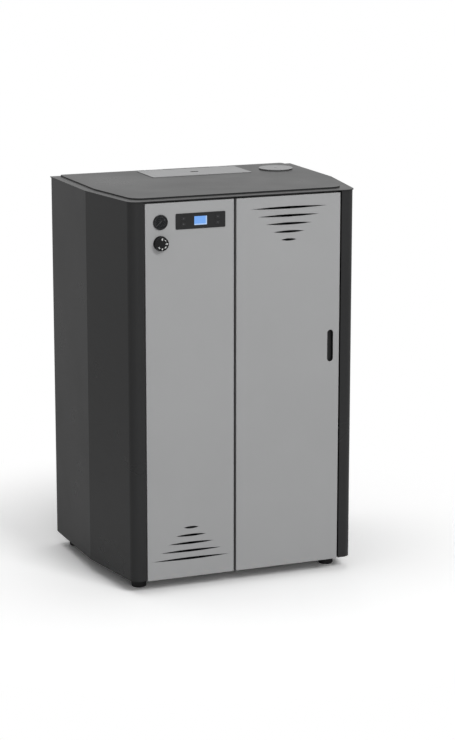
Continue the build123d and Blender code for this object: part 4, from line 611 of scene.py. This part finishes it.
def number_text(name, words, x, y, z, height, finish, body, angle=0.0, weight=0.0):
    """A printed number that faces the front, as a thin raised mesh."""
    curve = bpy.data.curves.new(name, "FONT")
    curve.body = words
    curve.size = height
    curve.extrude = NUMBER_THICK
    curve.offset = weight
    curve.align_x = "CENTER"
    curve.align_y = "CENTER"
    upright = Matrix.Rotation(math.pi / 2, 4, "X")
    turn = Matrix.Translation((x, y, z)) @ Matrix.Rotation(-angle, 4, "Y") @ upright
    holder = placed(name + "_curve", curve)
    bpy.context.view_layer.update()
    mesh = bpy.data.meshes.new_from_object(holder)
    bpy.data.objects.remove(holder)
    mesh.transform(turn)
    mesh.materials.clear()
    mesh.materials.append(FINISHES[finish])
    piece = placed(name, mesh)
    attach(piece, body)


# Print on the controls

def knob_numbers():
    """White numbers round the right half of the thermostat knob's face."""
    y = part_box("thermostat_knob")[0][1] - PRINT_LIFT
    for n in range(KNOB_NUMBERS):
        angle = math.radians(KNOB_START - KNOB_STEP * n)
        x, z = round_point(DIAL_X, KNOB_Z, KNOB_RING, angle)
        number_text(
            f"knob_number_{n}", str(n), x, y, z, KNOB_NUMBER_HEIGHT, "print_white",
            "knob", math.pi / 2 - angle, KNOB_NUMBER_WEIGHT,
        )


def gauge_angle(n, count):
    """The direction of a place on the gauge's scale, counted from its low end."""
    return math.radians(GAUGE_START - GAUGE_SWEEP * n / count)


def gauge_dial():
    """Dial plate with ticks and numbers behind the gauge's glass."""
    y = PANEL_FACE_Y - GAUGE_PROUD + DIAL_SINK - DIAL_LIFT
    plate = bmesh.new()
    centre = plate.verts.new((DIAL_X, y, GAUGE_Z))
    edge = []
    for n in range(DIAL_SIDES):
        x, z = round_point(DIAL_X, GAUGE_Z, DIAL_RADIUS, 2 * math.pi * n / DIAL_SIDES)
        edge.append(plate.verts.new((x, y, z)))
    for n in range(DIAL_SIDES):
        plate.faces.new((centre, edge[n], edge[(n + 1) % DIAL_SIDES]))
    bmesh.ops.recalc_face_normals(plate, faces=plate.faces)
    mesh_piece("gauge_dial_plate", plate, "dial_black", "cabinet")
    ticks = bmesh.new()
    for n in range(TICK_COUNT + 1):
        angle = gauge_angle(n, TICK_COUNT)
        length, width = SHORT_TICK if n % LONG_TICK_EVERY else LONG_TICK
        x, z = round_point(DIAL_X, GAUGE_Z, TICK_RING - length / 2, angle)
        flat_mark(ticks, bar_points(x, z, length, width, angle), y)
    mesh_piece("gauge_ticks", ticks, "print_grey", "cabinet", smooth=False)
    for n in range(GAUGE_NUMBERS):
        x, z = round_point(DIAL_X, GAUGE_Z, GAUGE_RING, gauge_angle(n, GAUGE_NUMBERS - 1))
        number_text(
            f"gauge_number_{n}", str(n), x, y - PRINT_LIFT, z, GAUGE_NUMBER_HEIGHT,
            "print_grey", "cabinet",
        )


def arrow_sign(shape, x, y, z, up):
    """Adds an arrow head that points up, or down where up is -1."""
    foot = z - up * ARROW_FOOT
    tip = (x, z + up * ARROW_TIP)
    left, right = (x - ARROW_REACH, foot), (x + ARROW_REACH, foot)
    flat_mark(shape, [left, right, tip] if up > 0 else [left, tip, right], y)


def bar_sign(shape, x, y, z):
    """Adds a flat bar with a short one standing on it."""
    flat_mark(shape, bar_points(x, z, *FLAT_BAR), y)
    flat_mark(shape, bar_points(x, z + SHORT_BAR_RISE, *SHORT_BAR), y)


def ring_sign(shape, x, y, z):
    """Adds an open ring of dashes with a bar in its gap."""
    for n in range(RING_DASHES):
        angle = math.radians(RING_START + RING_SWEEP * n / (RING_DASHES - 1))
        u, w = round_point(x, z, RING_RADIUS, angle)
        flat_mark(shape, bar_points(u, w, *RING_DASH, angle), y)
    flat_mark(shape, bar_points(x, z + RING_BAR_RISE, *RING_BAR), y)


def key_signs():
    """Printed signs on the four keys: arrows up and down, a bar and a ring."""
    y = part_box(KEYS[0])[0][1]
    for name in KEYS:
        low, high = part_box(name)
        x = (low[0] + high[0]) / 2
        z = (low[2] + high[2]) / 2
        shape = bmesh.new()
        if name == "key_upper_left":
            arrow_sign(shape, x, y, z, 1)
        elif name == "key_lower_left":
            arrow_sign(shape, x, y, z, -1)
        elif name == "key_upper_right":
            bar_sign(shape, x, y, z)
        else:
            ring_sign(shape, x, y, z)
        mesh_piece(name + "_sign", shape, "print_grey", name, smooth=False)


# Trim, screws, welds and rope

def slot_outline(x, y, length, width, inset, count=10):
    """Points round a slot with round ends, seen from above."""
    radius = width / 2 - inset
    reach = (length - width) / 2
    points = []
    for centre, first in ((x + reach, -90), (x - reach, 90)):
        for n in range(count + 1):
            angle = math.radians(first + 180 * n / count)
            points.append((centre + radius * math.cos(angle), y + radius * math.sin(angle)))
    return points


def finger_slot_liner():
    """Black moulded liner inside the hatch's finger slot, its black also painting the shade inside
    the slot.
    """
    low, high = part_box("hopper_hatch")
    seal_low, seal_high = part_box("hatch_seal")
    x = (seal_low[0] + seal_high[0]) / 2
    y = (seal_low[1] + seal_high[1]) / 2
    top = high[2] - LINER_DROP
    floor, underside = low[2] + LINER_FLOOR, low[2] + LINER_UNDERSIDE
    levels = ((LINER_GAP, top), (LINER_WALL, top), (LINER_WALL, floor), (LINER_GAP, underside))
    shape = bmesh.new()
    loops = []
    for inset, z in levels:
        outline = slot_outline(x, y, *FINGER_SLOT, inset)
        loops.append([shape.verts.new((u, v, z)) for u, v in outline])
    for first, second in ((0, 1), (1, 2), (3, 0)):
        join_rings(shape, loops[first], loops[second])
    shape.faces.new(loops[2])
    shape.faces.new(list(reversed(loops[3])))
    bmesh.ops.recalc_face_normals(shape, faces=shape.faces)
    # Black liner, whose black also stands in for the shade inside the finger slot (painted shade)
    mesh_piece("finger_slot_liner", shape, "dial_black", "hatch", smooth=False)


def screw_head(shape, x, y, z):
    """Adds a domed screw head with a cross recess, its axis along Y."""
    crown = SCREW_RADIUS * 0.6
    rings = (
        (SCREW_RADIUS, 0.0),
        (SCREW_RADIUS, SCREW_HEIGHT * 0.35),
        (SCREW_RADIUS * 0.86, SCREW_HEIGHT * 0.75),
        (crown, SCREW_HEIGHT),
    )
    rim = turned_rings(shape, x, y, z, 1, rings)
    sink = []
    for n in range(len(rim)):
        share = 0.35 if n % 5 else 0.9
        u, w = round_point(x, z, crown * share, 2 * math.pi * n / len(rim))
        sink.append(shape.verts.new((u, y + SCREW_HEIGHT * share, w)))
    join_rings(shape, rim, sink)
    shape.faces.new(list(reversed(sink)))


def rear_screws():
    """Screws along the rear panel's edges, through the side panels' flanges."""
    shape = bmesh.new()
    rows = (
        ("side_panel_left", SIDE_SCREW_X, SIDE_SCREW_Z),
        ("rear_panel", EDGE_SCREW_X, EDGE_SCREW_Z),
    )
    for node, places, heights in rows:
        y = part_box(node)[1][1]
        for x in places:
            for z in heights:
                screw_head(shape, x, y, z)
    bmesh.ops.recalc_face_normals(shape, faces=shape.faces)
    mesh_piece("rear_screws", shape, "steel", "cabinet")


def plait_radius(radius):
    """The radius of a plaited rope, from the way along it and the angle round it."""
    def at(travelled, angle):
        along = travelled / PLAIT_PITCH
        plait = math.cos(3 * angle + along) * math.cos(3 * angle - along)
        return radius * (0.93 + 0.07 * plait)
    return at


def ripple_radius(radius, pitch):
    """The radius of a weld bead with its even ripples."""
    def at(travelled, angle):
        return radius * (0.82 + 0.18 * abs(math.sin(math.pi * travelled / pitch)))
    return at


def boiler_welds():
    """Weld beads down the jacket's front edges, and the stay welds on its flat front."""
    low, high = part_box("boiler_body")
    door_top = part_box("firebox_door")[1][2]
    y = low[1] + BEAD_SINK
    ends = (door_top + BEAD_OVER_DOOR, high[2] - BEAD_UNDER_TOP)
    ripple = ripple_radius(BEAD_RADIUS, BEAD_RIPPLE)
    shape = bmesh.new()
    for x in (low[0] + BEAD_SINK, high[0] - BEAD_SINK):
        edge = [Vector((x, y, z)) for z in ends]
        sweep(shape, close_points(edge, BEAD_STEP, False), ripple, BEAD_SIDES, False)
    bottom, top = door_top + STAYS_OVER_DOOR, high[2] - STAYS_UNDER_TOP
    for column in range(STAY_COLUMNS):
        x = low[0] + (high[0] - low[0]) * (column + 1) / (STAY_COLUMNS + 1)
        for row in range(STAY_ROWS):
            z = bottom + (top - bottom) * row / (STAY_ROWS - 1)
            rim = turned_rings(shape, x, low[1] + STAY_SINK, z, -1, STAY_WELD)
            shape.faces.new(rim)
    bmesh.ops.recalc_face_normals(shape, faces=shape.faces)
    mesh_piece("boiler_welds", shape, "boiler_paint", "cabinet")


def seal_rope():
    """Braided rope round the firebox opening, in place of its square solid."""
    low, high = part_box("firebox_door_seal")
    y = (low[1] + high[1]) / 2
    radius = (high[1] - low[1]) / 2 - ROPE_CLEAR
    inset = radius + ROPE_CORNER
    left, right = low[0] + inset, high[0] - inset
    bottom, top = low[2] + inset, high[2] - inset
    corners = ((right, top), (left, top), (left, bottom), (right, bottom))
    path = []
    for quarter, corner in enumerate(corners):
        for n in range(ROPE_CORNER_STEPS + 1):
            angle = math.radians(90 * quarter + 90 * n / ROPE_CORNER_STEPS)
            x, z = round_point(*corner, ROPE_CORNER, angle)
            path.append(Vector((x, y, z)))
    shape = bmesh.new()
    points = close_points(path, ROPE_STEP, True)
    sweep(shape, points, plait_radius(radius), ROPE_SIDES, True)
    bmesh.ops.recalc_face_normals(shape, faces=shape.faces)
    rope = mesh_piece("seal_rope", shape, "rope", "firebox_door")
    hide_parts("firebox_door_seal")


# Studio

def shader_mix(tree, factor, first, second):
    """Two shaders mixed by a factor socket, as an output socket."""
    node = add_node(tree, "ShaderNodeMixShader")
    for source, target in zip((factor, first, second), node.inputs):
        tree.links.new(source, target)
    return node.outputs["Shader"]


def plain_shader(tree, kind, level, strength=None):
    """A grey shader of one level, as an output socket."""
    node = add_node(tree, kind)
    node.inputs["Color"].default_value = (level, level, level, 1)
    if strength is not None:
        node.inputs["Strength"].default_value = strength
    return node.outputs[0]


def floor_material():
    """Pale floor whose shadows show, fading to plain white away from the object."""
    material = bpy.data.materials.new("studio_floor")
    material.use_nodes = True
    tree = material.node_tree
    tree.nodes.clear()
    out = add_node(tree, "ShaderNodeOutputMaterial")
    surface = add_node(tree, "ShaderNodeNewGeometry")
    path = add_node(tree, "ShaderNodeLightPath")
    reach = add_node(tree, "ShaderNodeVectorMath", operation="LENGTH")
    tree.links.new(surface.outputs["Position"], reach.inputs[0])
    distance = reach.outputs["Value"]
    shown = plain_shader(tree, "ShaderNodeBsdfDiffuse", FLOOR_SHOWN)
    white = plain_shader(tree, "ShaderNodeEmission", 1)
    bounce = plain_shader(tree, "ShaderNodeBsdfDiffuse", FLOOR_BOUNCE)
    mirrored = plain_shader(tree, "ShaderNodeEmission", 1, FLOOR_MIRRORED)
    fade = ramp(tree, distance, *FLOOR_FADE, curve="SMOOTHSTEP")
    rise = ramp(tree, distance, *MIRROR_RISE, curve="SMOOTHSTEP")
    in_gloss = product(tree, rise, path.outputs["Is Glossy Ray"])
    unseen = shader_mix(tree, in_gloss, bounce, mirrored)
    seen = shader_mix(tree, fade, shown, white)
    result = shader_mix(tree, path.outputs["Is Camera Ray"], unseen, seen)
    tree.links.new(result, out.inputs["Surface"])
    return material


def studio_world():
    """Even white surround: plain white to the camera, softer as a light."""
    world = bpy.data.worlds.new("studio")
    bpy.context.scene.world = world
    world.use_nodes = True
    tree = world.node_tree
    tree.nodes.clear()
    out = add_node(tree, "ShaderNodeOutputWorld")
    path = add_node(tree, "ShaderNodeLightPath")
    ambient = plain_shader(tree, "ShaderNodeBackground", 1, AMBIENT)
    white = plain_shader(tree, "ShaderNodeBackground", 1, 1.0)
    mirrored = add_node(tree, "ShaderNodeBackground")
    mirrored.inputs["Color"].default_value = (1, 1, 1, 1)
    place = add_node(tree, "ShaderNodeTexCoord")
    split = add_node(tree, "ShaderNodeSeparateXYZ")
    tree.links.new(place.outputs["Generated"], split.inputs["Vector"])
    levels = (*BEHIND, GLOSS_FRONT, GLOSS_BEHIND)
    behind = ramp(tree, split.outputs["Y"], *levels, curve="SMOOTHSTEP")
    tree.links.new(behind, mirrored.inputs["Strength"])
    gloss = shader_mix(tree, path.outputs["Is Glossy Ray"], ambient, mirrored.outputs[0])
    result = shader_mix(tree, path.outputs["Is Camera Ray"], gloss, white)
    tree.links.new(result, out.inputs["Surface"])


def studio_floor():
    """Flat floor just under the feet."""
    shape = bmesh.new()
    bmesh.ops.create_grid(shape, x_segments=1, y_segments=1, size=FLOOR_SIZE)
    mesh = bpy.data.meshes.new("studio_floor")
    shape.to_mesh(mesh)
    shape.free()
    floor = placed("studio_floor", mesh)
    floor.location = (0, 0, -FLOOR_DROP)
    mesh.materials.append(floor_material())


def studio_lamps():
    """Soft lamps above, in front and behind."""
    for name, place, target, size, power, in_gloss in LAMPS:
        data = bpy.data.lights.new(name, "AREA")
        data.shape = "RECTANGLE"
        data.size, data.size_y = size
        data.energy = power
        lamp = placed(name, data)
        lamp.location = place
        aim = Vector(target) - Vector(place)
        lamp.rotation_euler = aim.to_track_quat("-Z", "Y").to_euler()
        lamp.visible_glossy = in_gloss


def studio_camera():
    """The camera where the photograph was taken from."""
    data = bpy.data.cameras.new("camera")
    data.sensor_fit = "AUTO"
    data.sensor_width = 36.0
    data.lens = CAMERA_LENS
    data.clip_end = 60.0
    camera = placed("camera", data)
    camera.location = CAMERA_PLACE
    camera.rotation_euler = Euler([math.radians(angle) for angle in CAMERA_TURN])
    bpy.context.scene.camera = camera
    bpy.context.scene.view_settings.view_transform = "Standard"


def main():
    """Finishes, small pieces and studio."""
    finish_cad_nodes()
    gauge_dial()
    knob_numbers()
    key_signs()
    rear_screws()
    boiler_welds()
    seal_rope()
    finger_slot_liner()
    studio_floor()
    studio_world()
    studio_lamps()
    studio_camera()


main()
